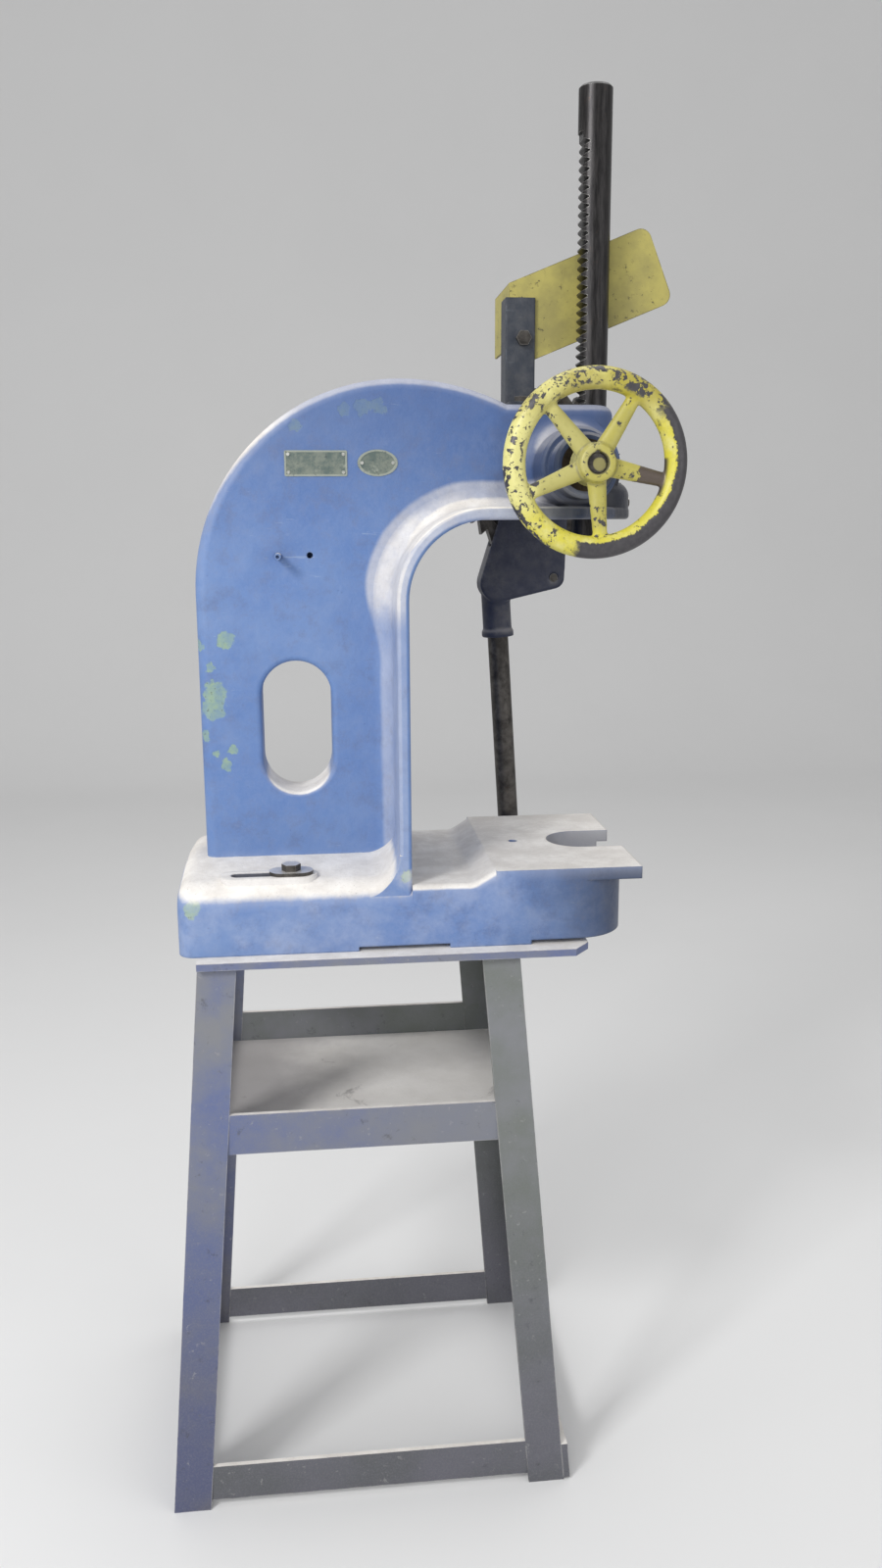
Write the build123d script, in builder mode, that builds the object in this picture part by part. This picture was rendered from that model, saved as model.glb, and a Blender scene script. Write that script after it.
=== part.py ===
from build123d import *
from math import acos, atan2, cos, degrees, pi, radians, sin, tan
import os

# Ratchet arbor press on a welded angle-iron stand.
# Millimetres, +Z up, +X to the front where the ram is, -Y to the handwheel side.
# The origin is on the floor below the middle of the whole machine.

# Stand
stand_x = -85.0            # middle of the stand along X
top_half_x = 213.0         # outer corners of the legs under the plate
top_half_y = 170.0
floor_half_x = 276.0       # outer corners of the legs at the floor
floor_half_y = 211.0
plate_top_z = 793.0        # the press stands on this face
stand_plate_t = 10.0
plate_rear_x = -298.0
plate_front_x = 224.0
plate_half_y = 180.0
plate_clip_x = 22.0        # cut front corners of the plate
plate_clip_y = 26.0
leg_w = 50.8               # two inch angle iron
leg_t = 6.35
rail_w = 57.0
rail_t = 6.35
mid_rail_z = 523.0         # underside of the rails that carry the shelf
low_rail_z = 13.0
low_rail_w = 53.0
low_bar_z = 3.0            # the front one is a thicker bar, outside the legs
low_bar_t = 9.5
shelf_t = 3.0
shelf_gap = 1.0

# Base of the casting
base_half_y = 155.0
base_rear_x = -323.0
base_front_x = 280.0
base_front_r = 68.0
deck_up = 104.0            # crown of the deck behind the throat, above the stand's plate
deck_fall = 12.0           # its slopes would meet the sides this much lower
deck_round = 36.0
deck_end_round = 22.0
deck_blend_r = 40.0        # hollow between the deck and the back of the throat flange
apron_up = 87.0            # rough top between the throat and the table, above the plate
apron_round = 10.0
ramp_length = 28.0         # from the apron up to the table
ramp_r = 22.0
table_up = 104.0           # machined table, above the plate
table_rear_x = 98.0
table_front_x = 296.0
notch_x = 240.0            # centre of the round end of the table notch
notch_r = 45.0
pin_hole_x = 145.0
pin_hole_r = 6.35
pin_hole_depth = 40.0
relief_h = 6.0             # reliefs under the base
relief_rear_x = -86.0
relief_front_x = 36.0
toe_relief_x = 146.0
foot_x = -203.0            # hold-down slot and its raised boss
foot_y = 118.0
slot_length = 100.0
slot_width = 20.0
foot_boss_length = 130.0
foot_boss_width = 38.0
foot_boss_fall = 4.0       # its top lies this far below the crown of the deck

# Web and arm of the casting
web_half = 38.0
web_rear_x = -290.0
back_r = 277.0
back_rise = 32.0           # top of the back above the top of the head
arm_seat_x = 128.0         # the arm's top is flat from here to the head
head_depth = 150.0
head_set_back = 8.0        # from the ram's axis to the middle of the head's round front
arm_up = 560.0             # underside of the arm, above the plate
throat_x = -14.0
throat_r = 102.0
outer_round = 14.0
flange_half_y = 152.0
flange_t = 16.0
flange_root = 15.0         # the flange starts this far below the deck's shoulders
flange_edge_r = 5.0
flange_fillet = 24.0
flange_end_x = 218.0
flange_corner_r = 25.0
window_x = -160.0          # oval window through the web
window_up = 284.0          # its middle above the plate
window_height = 181.0
window_width = 95.0
window_lip = 7.0
side_hole_x = -137.0
side_hole_below = 45.0     # below the underside of the arm
side_hole_r = 4.0
side_hole_depth = 25.0

# Ram, rack and pinion
ram_r = 22.225
ram_below = 33.0           # the ram stands this far out of the arm
ram_length = 580.0
ram_chamfer = 3.0
ram_fit = 0.06
circular_pitch = 11.1125
pressure_angle = 25.0
pinion_teeth = 12
pinion_x = 211.0
pinion_above = 66.0        # from the underside of the arm
pinion_half_w = 22.0
pitch_line = 14.7          # from the ram's axis to the rack's pitch line
tooth_ease = 0.12          # taken off each side of every tooth
mesh_ease = 0.1
tooth_root_gap = 0.55
rack_teeth_below = 3
ram_turns = 3              # turns of the handwheel over the whole travel
collar_r = 56.0
collar_h = 50.0
collar_step = 1.0
collar_round = 20.0
boss_r = 51.0
boss_flare = 20.0
bearing_length = 37.0      # of the boss's narrower end
bearing_r = 41.0
bush_clear = 2.0           # from the far bush to the lever head
bearing_round = 4.0
chamber_gap = 1.3

# Shaft, bushes and what turns on them
shaft_r = 19.05
shaft_chamfer = 1.0
running_fit = 0.05
near_bush_r = 24.0
far_bush_r = 29.0
bush_length = 68.0
bush_flange_t = 5.0
bush_flange_over = 8.0
wheel_seat_r = 12.7
wheel_clear_y = 20.0       # from the near bush to the wheel's hub
wheel_hub_length = 41.0
wheel_recess = 7.0         # the shaft ends this far inside the hub
wheel_lip = 3.0
wheel_rim_set = 23.0       # from the back of the hub to the middle of the rim
wheel_outer_r = 114.3
rim_r = 14.0
wheel_hub_r = 23.0
wheel_hub_back_r = 28.0
spoke_count = 5
spoke_first_deg = -85.0
spoke_root_w = 25.0
spoke_root_t = 17.0
spoke_tip_w = 17.0
spoke_tip_t = 12.0
key_w = 6.35
key_length = 38.0
key_gap = 0.05
set_screw_r = 4.0
set_screw_length = 9.0

# Ratchet and lever
bar_clear = 6.625          # from the side of the base to the lever's bar
ratchet_teeth = 36
ratchet_r = 125.0
ratchet_root_r = 113.0
ratchet_phase = 4.4
ratchet_rim_w = 26.0
ratchet_rim_r = 98.0
ratchet_web_t = 12.0
ratchet_hub_r = 34.0
side_gap = 0.3
fork_half = 15.5           # half the room between the cheeks of the lever head
cheek_t = 8.0
cheek_hub_r = 42.0
far_seat_r = 17.45
collar_outer_r = 28.0
shaft_collar_w = 11.7
wheel_clear = 4.0          # from the ratchet's tips to the head's bridge
socket_u = -64.0           # middle of the lever's socket, from the pinion's axis
socket_v = -204.0
bar_tilt_deg = 3.5
socket_back = 45.0
socket_front = 38.0
socket_r = 22.0
socket_lip_r = 24.5
socket_lip_h = 10.0
bridge_v = -160.0
bridge_r = 28.0
bridge_edge_u = -35.9       # the parked pawl rests here
bar_r = 15.875
bar_fit = 0.15
bar_length = 440.0
bar_inset = 5.0
pawl_pivot_u = 20.0
pawl_pivot_v = -152.0
pawl_pin_r = 6.0
pawl_boss_r = 12.0
pawl_lug_r = 17.0
pawl_nose_r = 2.5
pawl_nose_depth = 5.3
pawl_nose_lag = 3.5
pawl_neck_r = 5.0
pawl_neck_depth = 7.0
pawl_neck_lag = 7.1
pawl_park_deg = 16.0
clamp_head_w = 12.0
clamp_head_h = 7.0
clamp_stub = 7.0           # the screw's length outside the socket's wall

# Guard post and plate on the arm
post_x = 134.0
post_y = 20.0
post_w = 40.0
post_t = 5.0
post_length = 142.0
foot_plate_front = 36.0
guard_t = 3.0
guard_depth = 125.0
guard_slope_deg = 22.0
guard_above = 19.0         # its top edge above the top of the post
guard_left_drop = 82.0
guard_width = 104.0
guard_reach_x = 361.0
guard_corner_r = 15.0
guard_bolt_drop = 52.0     # below the top of the post

# Small fittings
plate_t = 1.0
name_x = -126.0
name_drop = 76.5           # below the top of the head
name_w = 82.0
name_h = 33.0
badge_x = -45.0
badge_drop = 76.0
badge_w = 53.0
badge_h = 34.0
rivet_r = 2.5
stud_x = -179.0
stud_below = 46.0          # below the underside of the arm
stud_r = 4.5
stud_out = 30.0
stud_in = 10.0
bolt_r = 7.0
bolt_head_r = 12.7
bolt_head_h = 9.0
bolt_x = -173.0
bolt_tail = 20.0           # below the stand's plate
clamp_washer_t = 5.0
clamp_washer_length = 58.0
clamp_washer_width = 34.0
small_bolt_r = 5.0
small_head_r = 10.5
small_head_h = 7.5
brake_above = 23.0         # from the underside of the arm
brake_r = 6.0
brake_pad_t = 5.0

# Worked out from the sizes above
leg_top_z = plate_top_z - stand_plate_t
deck_z = plate_top_z + deck_up
deck_side_z = deck_z - deck_fall
apron_z = plate_top_z + apron_up
table_z = plate_top_z + table_up
foot_boss_z = deck_z - foot_boss_fall
window_z = plate_top_z + window_up
arm_z = plate_top_z + arm_up
head_top_z = arm_z + head_depth
back_arc_z = head_top_z + back_rise - back_r
side_hole_z = arm_z - side_hole_below
stud_z = arm_z - stud_below
name_z = head_top_z - name_drop
badge_z = head_top_z - badge_drop
post_top_z = head_top_z + post_length
guard_top_z = post_top_z + guard_above
guard_left_low_z = guard_top_z - guard_left_drop
guard_bolt_z = post_top_z - guard_bolt_drop
pinion_z = arm_z + pinion_above
brake_z = arm_z + brake_above
ram_low_z = arm_z - ram_below
ram_top_z = ram_low_z + ram_length
ratchet_y = base_half_y + bar_clear + bar_r
cheek_y = ratchet_y - fork_half - cheek_t
collar_y = ratchet_y + fork_half + cheek_t
shaft_far_y = collar_y + side_gap + shaft_collar_w
bearing_y = cheek_y - bush_clear - bush_flange_t
boss_step_y = bearing_y - bearing_length
wheel_hub_back_y = bearing_y + bush_flange_t + wheel_clear_y
wheel_hub_face_y = wheel_hub_back_y + wheel_hub_length
wheel_y = wheel_hub_back_y + wheel_rim_set
pitch_r = pinion_teeth * circular_pitch / (2 * pi)
addendum = circular_pitch / pi
pinion_tip_r = pitch_r + addendum
pinion_root_r = pitch_r - addendum - tooth_root_gap
base_circle_r = pitch_r * cos(radians(pressure_angle))
ram_x = pinion_x + pitch_r + pitch_line + mesh_ease
ram_travel = ram_turns * pinion_teeth * circular_pitch
back_x = web_rear_x + back_r
flange_straight_x = flange_end_x - flange_corner_r
back_top_z = back_arc_z + back_r
head_round_x = ram_x - head_set_back
flange_back = throat_x - flange_t
flange_root_z = deck_z - deck_round - flange_root
ratchet_step = 360.0 / ratchet_teeth
post_far_y = post_y + post_t
bolt_low_z = leg_top_z - bolt_tail
spoke_r = wheel_outer_r - rim_r
shaft_near_y = wheel_hub_face_y - wheel_recess
wheel_key_y = -(wheel_hub_back_y + shaft_near_y) / 2
pinion_plane = Plane(origin=(pinion_x, 0, pinion_z), x_dir=(1, 0, 0), z_dir=(0, -1, 0))
pinion_axis = Axis((pinion_x, 0, pinion_z), (0, 1, 0))
ram_axis = Axis((ram_x, 0, 0), (0, 0, 1))


def leg_x(z):
    return top_half_x + (floor_half_x - top_half_x) * (leg_top_z - z) / leg_top_z


def leg_y(z):
    return top_half_y + (floor_half_y - top_half_y) * (leg_top_z - z) / leg_top_z


def at_y(y):
    # Plane in X and Z through the pinion's axis, at this Y
    return pinion_plane.offset(-y)


def polar(radius, angle):
    return (radius * cos(radians(angle)), radius * sin(radians(angle)))


def write(piece, name):
    piece.part.label = name
    export_step(piece.part, f"parts/{name}.step")


os.makedirs("parts", exist_ok=True)

# Legs: splayed angle iron, cut level at both ends
for end, sx in (("rear", -1), ("front", 1)):
    for side, sy in (("near", -1), ("far", 1)):
        with BuildPart() as leg:
            for z in (0.0, leg_top_z):
                corner_x = stand_x + sx * leg_x(z)
                corner_y = sy * leg_y(z)
                with BuildSketch(Plane.XY.offset(z)):
                    with BuildLine():
                        Polyline(
                            (corner_x, corner_y),
                            (corner_x - sx * leg_w, corner_y),
                            (corner_x - sx * leg_w, corner_y - sy * leg_t),
                            (corner_x - sx * leg_t, corner_y - sy * leg_t),
                            (corner_x - sx * leg_t, corner_y - sy * leg_w),
                            (corner_x, corner_y - sy * leg_w),
                            close=True,
                        )
                    make_face()
            loft()
        write(leg, f"leg_{end}_{side}")

# Rails: the upright wall ends against the legs. The middle ones are angle iron, with a flat
# wall pointing inwards, and the low ones are plain bars.
for level, rail_z, wall_w in (("mid", mid_rail_z, rail_w), ("low", low_rail_z, low_rail_w)):
    walls = [(wall_w, rail_t)]
    if level == "mid":
        walls.append((rail_t, rail_w))
    for side, sy in (("near", -1), ("far", 1)):
        with BuildPart() as rail:
            for height, depth in walls:
                low = leg_x(rail_z) - leg_w
                high = leg_x(rail_z + height) - leg_w
                with BuildSketch(Plane.XZ.offset(-sy * leg_y(rail_z + wall_w))):
                    with BuildLine():
                        Polyline(
                            (stand_x - low, rail_z),
                            (stand_x + low, rail_z),
                            (stand_x + high, rail_z + height),
                            (stand_x - high, rail_z + height),
                            close=True,
                        )
                    make_face()
                extrude(amount=sy * depth)
        write(rail, f"{level}_rail_{side}")
    end_rails = (("rear", -1), ("front", 1)) if level == "mid" else (("rear", -1),)
    for end, sx in end_rails:
        wall_x = stand_x + sx * leg_x(rail_z + wall_w)
        low = leg_y(rail_z) - leg_w
        high = leg_y(rail_z + wall_w) - leg_w
        flat = leg_y(rail_z + wall_w) - rail_w
        with BuildPart() as rail:
            with BuildSketch(Plane.YZ.offset(wall_x)):
                with BuildLine():
                    Polyline((-low, rail_z), (low, rail_z), (high, rail_z + wall_w),
                             (-high, rail_z + wall_w), close=True)
                make_face()
            extrude(amount=-sx * rail_t)
            if level == "mid":
                with BuildSketch(Plane.YZ.offset(wall_x)):
                    with Locations((0, rail_z + rail_t / 2)):
                        Rectangle(2 * flat, rail_t)
                extrude(amount=-sx * rail_w)
        write(rail, f"{level}_rail_{end}")

# Low bar across the front, welded on the outside of the front legs
with BuildPart() as low_front_bar:
    for z in (low_bar_z, low_bar_z + low_rail_w):
        with BuildSketch(Plane.XY.offset(z)):
            with Locations((stand_x + leg_x(z) + low_bar_t / 2, 0)):
                Rectangle(low_bar_t, 2 * leg_y(z))
    loft()
write(low_front_bar, "low_rail_front")

# Shelf sheet, loose on the flat walls of the middle rails
shelf_z = mid_rail_z + rail_t
shelf_half_x = leg_x(mid_rail_z + rail_w) - rail_t - shelf_gap
shelf_half_y = leg_y(mid_rail_z + rail_w) - rail_t - shelf_gap
with BuildPart() as stand_shelf:
    with BuildSketch(Plane.XY.offset(shelf_z)):
        with Locations((stand_x, 0)):
            Rectangle(2 * shelf_half_x, 2 * shelf_half_y)
    extrude(amount=shelf_t)
write(stand_shelf, "stand_shelf")

# Top plate of the stand, with cut front corners
with BuildPart() as stand_top_plate:
    with BuildSketch(Plane.XY.offset(leg_top_z)):
        with BuildLine():
            Polyline(
                (plate_rear_x, -plate_half_y),
                (plate_front_x - plate_clip_x, -plate_half_y),
                (plate_front_x, -plate_half_y + plate_clip_y),
                (plate_front_x, plate_half_y - plate_clip_y),
                (plate_front_x - plate_clip_x, plate_half_y),
                (plate_rear_x, plate_half_y),
                close=True,
            )
        make_face()
        with Locations((bolt_x, -foot_y), (bolt_x, foot_y)):
            Circle(bolt_r + running_fit, mode=Mode.SUBTRACT)
    extrude(amount=stand_plate_t)
write(stand_top_plate, "stand_top_plate")

# Web of the casting: a C in the middle plane with the head's round front, rounded along the outer edge
with BuildPart() as web:
    with BuildSketch(Plane.XZ):
        with BuildLine():
            Line((web_rear_x, apron_z), (web_rear_x, back_arc_z))
            CenterArc((back_x, back_arc_z), back_r, 180, -90)
            TangentArc((back_x, back_top_z), (arm_seat_x, head_top_z), tangent=(1, 0))
            Line((arm_seat_x, head_top_z), (head_round_x, head_top_z))
            Line((head_round_x, head_top_z), (head_round_x, arm_z))
            Line((head_round_x, arm_z), (throat_x + throat_r, arm_z))
            CenterArc((throat_x + throat_r, arm_z - throat_r), throat_r, 90, 90)
            Line((throat_x, arm_z - throat_r), (throat_x, apron_z))
            Line((throat_x, apron_z), (web_rear_x, apron_z))
        make_face()
    extrude(amount=web_half, both=True)
    with BuildSketch(Plane.XY.offset(arm_z)):
        with Locations((head_round_x, 0)):
            Circle(web_half)
    extrude(amount=head_top_z - arm_z)
    outer_edges = web.edges().filter_by(
        lambda e: (abs(abs((e @ 0.5).Y) - web_half) < 0.01 or (e @ 0.5).X > head_round_x + 1)
        and ((e @ 0.5).X < web_rear_x + 1 or (e @ 0.5).Z > pinion_z)
        and abs((e % 0.5).Z) < 0.999 + ((e @ 0.5).X < web_rear_x + 1)
    )
    fillet(outer_edges, radius=outer_round)

    # Oval window with a rounded lip
    with BuildSketch(Plane.XZ):
        with Locations((window_x, window_z)):
            SlotOverall(window_height, window_width, rotation=90)
    extrude(amount=web_half + 1, both=True, mode=Mode.SUBTRACT)
    lip_edges = web.edges().filter_by(
        lambda e: abs(abs((e @ 0.5).Y) - web_half) < 0.01
        and abs((e @ 0.5).X - window_x) < window_width / 2 + 1
        and abs((e @ 0.5).Z - window_z) < window_height / 2 + 1
    )
    fillet(lip_edges, radius=window_lip)

# One half of the head's bearing boss, turned about the pinion's axis
boss_plane = Plane(origin=(pinion_x, 0, pinion_z), x_dir=(1, 0, 0), z_dir=(0, 0, 1))
with BuildPart() as bearing_boss:
    with BuildSketch(boss_plane):
        with BuildLine():
            Polyline((0, boss_step_y - bearing_round), (0, 0), (boss_r + boss_flare, 0),
                     (boss_r + boss_flare, web_half))
            ThreePointArc(
                (boss_r + boss_flare, web_half),
                (boss_r + boss_flare * (1 - sin(radians(45))), web_half + boss_flare * (1 - cos(radians(45)))),
                (boss_r, web_half + boss_flare),
            )
            Line((boss_r, web_half + boss_flare), (boss_r, boss_step_y - bearing_round))
            Line((boss_r, boss_step_y - bearing_round), (boss_r - bearing_round, boss_step_y))
            Line((boss_r - bearing_round, boss_step_y), (bearing_r, boss_step_y))
            Line((bearing_r, boss_step_y), (bearing_r, bearing_y - bearing_round))
            Line((bearing_r, bearing_y - bearing_round), (bearing_r - bearing_round, bearing_y))
            Line((bearing_r - bearing_round, bearing_y), (0, bearing_y))
            Line((0, bearing_y), (0, boss_step_y - bearing_round))
        make_face()
    revolve(axis=pinion_axis)
    mirror(about=Plane.XZ)
    with BuildSketch(Plane.XY.offset(arm_z)):
        with Locations((pinion_x, 0)):
            Rectangle(3 * (boss_r + boss_flare), 2 * bearing_y)
    extrude(amount=-(boss_r + boss_flare), mode=Mode.SUBTRACT)

# Front end of the throat flange, narrowing to the collar round the ram
with BuildPart() as flange_nose:
    with BuildSketch(Plane.XY.offset(arm_z)) as nose_plan:
        with Locations((ram_x, 0)):
            Circle(collar_r)
        with Locations((flange_straight_x, flange_half_y - flange_corner_r),
                       (flange_straight_x, flange_corner_r - flange_half_y)):
            Circle(flange_corner_r)
        make_hull()
        with Locations((flange_straight_x - flange_corner_r, 0)):
            Rectangle(2 * flange_corner_r, 2 * flange_half_y, mode=Mode.SUBTRACT)
    extrude(amount=flange_t)
    fillet(flange_nose.edges().filter_by(
        lambda e: abs((e % 0.5).Z) < 0.5 and (e @ 0.5).X > flange_straight_x + 0.1
    ), radius=flange_edge_r)

# Round-topped collar of the arm about the ram
with BuildPart() as ram_collar:
    with BuildSketch(Plane.XY.offset(arm_z + flange_t / 2)):
        with Locations((ram_x, 0)):
            Circle(collar_r - collar_step)
    extrude(amount=collar_h - flange_t / 2)
    fillet(ram_collar.edges().group_by(Axis.Z)[-1], radius=collar_round)

# Hollow blend where the back of the throat flange meets the deck, following its shoulders
with BuildPart() as deck_blend:
    with BuildSketch(Plane.XZ):
        bend = deck_blend_r * sin(radians(45))
        with BuildLine():
            ThreePointArc(
                (flange_back - deck_blend_r, deck_z),
                (flange_back - deck_blend_r + bend, deck_z + deck_blend_r - bend),
                (flange_back, deck_z + deck_blend_r),
            )
            Polyline(
                (flange_back, deck_z + deck_blend_r),
                (flange_back + flange_edge_r, deck_z + deck_blend_r),
                (flange_back + flange_edge_r, deck_z - flange_edge_r),
                (flange_back - deck_blend_r, deck_z - flange_edge_r),
                (flange_back - deck_blend_r, deck_z),
            )
        make_face()
    with BuildLine(Plane.YZ.offset(flange_back)):
        FilletPolyline((0, deck_z), (web_half, deck_z), (base_half_y, deck_side_z), (base_half_y, apron_z - deck_round),
                       radius=deck_round)
    sweep()
    mirror(about=Plane.XZ)
    with BuildSketch(Plane.XY.offset(plate_top_z)):
        with Locations((flange_back - deck_blend_r, 0)):
            Rectangle(4 * deck_blend_r, 2 * flange_half_y)
    extrude(amount=deck_z + deck_blend_r - plate_top_z, mode=Mode.INTERSECT)

# Frame casting: base, table, web, throat flange and head in one piece
with BuildPart() as press_frame:
    with BuildSketch(Plane.YZ.offset(base_rear_x)):
        with BuildLine():
            FilletPolyline(
                (-base_half_y, plate_top_z),
                (-base_half_y, deck_side_z),
                (-web_half, deck_z),
                (web_half, deck_z),
                (base_half_y, deck_side_z),
                (base_half_y, plate_top_z),
                radius=deck_round,
            )
            Line((base_half_y, plate_top_z), (-base_half_y, plate_top_z))
        make_face()
    extrude(amount=throat_x - base_rear_x)
    rear_edges = press_frame.faces().sort_by(Axis.X)[0].edges().filter_by(
        lambda e: (e @ 0.5).Z > plate_top_z + 1
    )
    fillet(rear_edges, radius=deck_end_round)

    # Apron between the throat and the table, ramped up to it
    with BuildSketch(Plane.XZ):
        with BuildLine():
            FilletPolyline((throat_x, apron_z), (table_rear_x - ramp_length, apron_z), (table_rear_x, table_z),
                           radius=ramp_r)
            Polyline((table_rear_x, table_z), (table_rear_x, plate_top_z), (throat_x, plate_top_z),
                     (throat_x, apron_z))
        make_face()
    extrude(amount=base_half_y, both=True)
    apron_edges = press_frame.edges().filter_by(
        lambda e: abs(abs((e @ 0.5).Y) - base_half_y) < 0.01
        and throat_x < (e @ 0.5).X < table_rear_x - 0.1
        and (e @ 0.5).Z > apron_z - 1
    )
    fillet(apron_edges, radius=apron_round)

    # Front of the base under the machined table
    with BuildSketch(Plane.XY.offset(plate_top_z)) as toe_plan:
        with Locations(((table_rear_x + base_front_x) / 2, 0)):
            Rectangle(base_front_x - table_rear_x, 2 * base_half_y)
        fillet(toe_plan.vertices().group_by(Axis.X)[-1], radius=base_front_r)
    extrude(amount=apron_z - plate_top_z)
    with BuildSketch(Plane.XY.offset(apron_z)):
        with Locations(((table_rear_x + table_front_x) / 2, 0)):
            Rectangle(table_front_x - table_rear_x, 2 * base_half_y)
    extrude(amount=table_z - apron_z)

    # Throat flange: one section carried up the column, round the throat and along the arm
    with BuildLine(Plane.XZ):
        Line((throat_x, flange_root_z), (throat_x, arm_z - throat_r))
        CenterArc((throat_x + throat_r, arm_z - throat_r), throat_r, 180, -90)
        Line((throat_x + throat_r, arm_z), (flange_straight_x, arm_z))
    with BuildSketch(Plane.XY.offset(flange_root_z)) as flange_section:
        fillet_side = web_half + flange_fillet
        fillet_reach = flange_fillet * (1 - cos(radians(45)))
        with BuildLine():
            Line((throat_x, -flange_half_y), (throat_x, flange_half_y))
            Line((throat_x, flange_half_y), (flange_back, flange_half_y))
            Line((flange_back, flange_half_y), (flange_back, fillet_side))
            ThreePointArc(
                (flange_back, fillet_side),
                (flange_back - fillet_reach, web_half + fillet_reach),
                (flange_back - flange_fillet, web_half),
            )
            Line((flange_back - flange_fillet, web_half), (flange_back - flange_fillet, -web_half))
            ThreePointArc(
                (flange_back - flange_fillet, -web_half),
                (flange_back - fillet_reach, -web_half - fillet_reach),
                (flange_back, -fillet_side),
            )
            Line((flange_back, -fillet_side), (flange_back, -flange_half_y))
            Line((flange_back, -flange_half_y), (throat_x, -flange_half_y))
        make_face()
        fillet(flange_section.vertices().filter_by(lambda v: abs(v.Y) > flange_half_y - 1), flange_edge_r)
    sweep()

    add(deck_blend.part)
    add(flange_nose.part)
    add(ram_collar.part)
    add(web.part)
    add(bearing_boss.part)

    # Table notch, pin hole and the reliefs underneath
    with BuildSketch(Plane.XY.offset(plate_top_z)):
        with Locations((notch_x, 0)):
            Circle(notch_r)
        with Locations(((notch_x + table_front_x + 5) / 2, 0)):
            Rectangle(table_front_x + 5 - notch_x, 2 * notch_r)
    extrude(amount=table_z - plate_top_z, mode=Mode.SUBTRACT)
    with BuildSketch(Plane.XY.offset(table_z)):
        with Locations((pin_hole_x, 0)):
            Circle(pin_hole_r)
    extrude(amount=-pin_hole_depth, mode=Mode.SUBTRACT)
    with BuildSketch(Plane.XY.offset(plate_top_z)):
        with Locations(((relief_rear_x + relief_front_x) / 2, 0)):
            Rectangle(relief_front_x - relief_rear_x, 2 * base_half_y + 2)
        with Locations(((toe_relief_x + table_front_x) / 2, 0)):
            Rectangle(table_front_x - toe_relief_x, 2 * base_half_y + 2)
    extrude(amount=relief_h, mode=Mode.SUBTRACT)

    # Hold-down slots in their raised bosses
    with BuildSketch(Plane.XY.offset(deck_z - deck_round)):
        with Locations((foot_x, -foot_y), (foot_x, foot_y)):
            SlotOverall(foot_boss_length, foot_boss_width)
    extrude(amount=foot_boss_z - deck_z + deck_round)
    with BuildSketch(Plane.XY.offset(plate_top_z)):
        with Locations((foot_x, -foot_y), (foot_x, foot_y)):
            SlotOverall(slot_length, slot_width)
    extrude(amount=foot_boss_z - plate_top_z, mode=Mode.SUBTRACT)

    # Ram bore, pinion chamber and bush seats
    with BuildSketch(Plane.XY.offset(arm_z)):
        with Locations((ram_x, 0)):
            Circle(ram_r + ram_fit)
    extrude(amount=head_top_z - arm_z, mode=Mode.SUBTRACT)
    with BuildSketch(pinion_plane):
        Circle(pinion_tip_r + chamber_gap)
    extrude(amount=pinion_half_w + 2, both=True, mode=Mode.SUBTRACT)
    with BuildSketch(pinion_plane):
        Circle(near_bush_r)
    extrude(amount=bearing_y, mode=Mode.SUBTRACT)
    with BuildSketch(pinion_plane):
        Circle(far_bush_r)
    extrude(amount=-bearing_y, mode=Mode.SUBTRACT)

    # Small holes: ram brake, guard post screw, side stud and the hole beside it
    with BuildSketch(Plane.YZ.offset(ram_x)):
        with Locations((0, brake_z)):
            Circle(brake_r + running_fit)
    extrude(amount=collar_r + 1, mode=Mode.SUBTRACT)
    with BuildSketch(Plane.XY.offset(head_top_z)):
        with Locations((post_x + post_w / 2, post_y - foot_plate_front / 2)):
            Circle(small_bolt_r)
    extrude(amount=-25, mode=Mode.SUBTRACT)
    with BuildSketch(Plane.XZ.offset(web_half)):
        with Locations((side_hole_x, side_hole_z)):
            Circle(side_hole_r)
    extrude(amount=-side_hole_depth, mode=Mode.SUBTRACT)
    with BuildSketch(Plane.XZ.offset(web_half)):
        with Locations((stud_x, stud_z)):
            Circle(stud_r)
    extrude(amount=-stud_in, mode=Mode.SUBTRACT)
write(press_frame, "press_frame")

# Round ram with a rack cut in its rear side
rack_flat_x = ram_x - pitch_line - addendum
rack_top_z = pinion_z + ram_travel + pinion_tip_r
rack_gaps = rack_teeth_below + pinion_teeth * ram_turns + 2
gap_tip_half = circular_pitch / 4 + tooth_ease + addendum * tan(radians(pressure_angle))
gap_root_half = circular_pitch / 4 + tooth_ease - (addendum + tooth_root_gap) * tan(radians(pressure_angle))
with BuildPart() as ram:
    with BuildSketch(Plane.XY.offset(ram_low_z)):
        with Locations((ram_x, 0)):
            Circle(ram_r)
    extrude(amount=ram_top_z - ram_low_z)
    chamfer(ram.edges().filter_by(GeomType.CIRCLE), length=ram_chamfer)
    rack_low_z = pinion_z - (rack_teeth_below + 0.5) * circular_pitch
    with BuildSketch(Plane.XZ):
        with Locations(((rack_flat_x + ram_x - ram_r - 1) / 2, (rack_low_z + rack_top_z) / 2)):
            Rectangle(rack_flat_x - ram_x + ram_r + 1, rack_top_z - rack_low_z)
        for gap in range(rack_gaps):
            gap_z = pinion_z + (gap - rack_teeth_below) * circular_pitch
            root_x = rack_flat_x + 2 * addendum + tooth_root_gap
            with BuildLine():
                Polyline(
                    (rack_flat_x - 0.5, gap_z - gap_tip_half),
                    (rack_flat_x, gap_z - gap_tip_half),
                    (root_x, gap_z - gap_root_half),
                    (root_x, gap_z + gap_root_half),
                    (rack_flat_x, gap_z + gap_tip_half),
                    (rack_flat_x - 0.5, gap_z + gap_tip_half),
                    close=True,
                )
            make_face()
    extrude(amount=ram_r + 1, both=True, mode=Mode.SUBTRACT)
write(ram, "ram")


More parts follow.
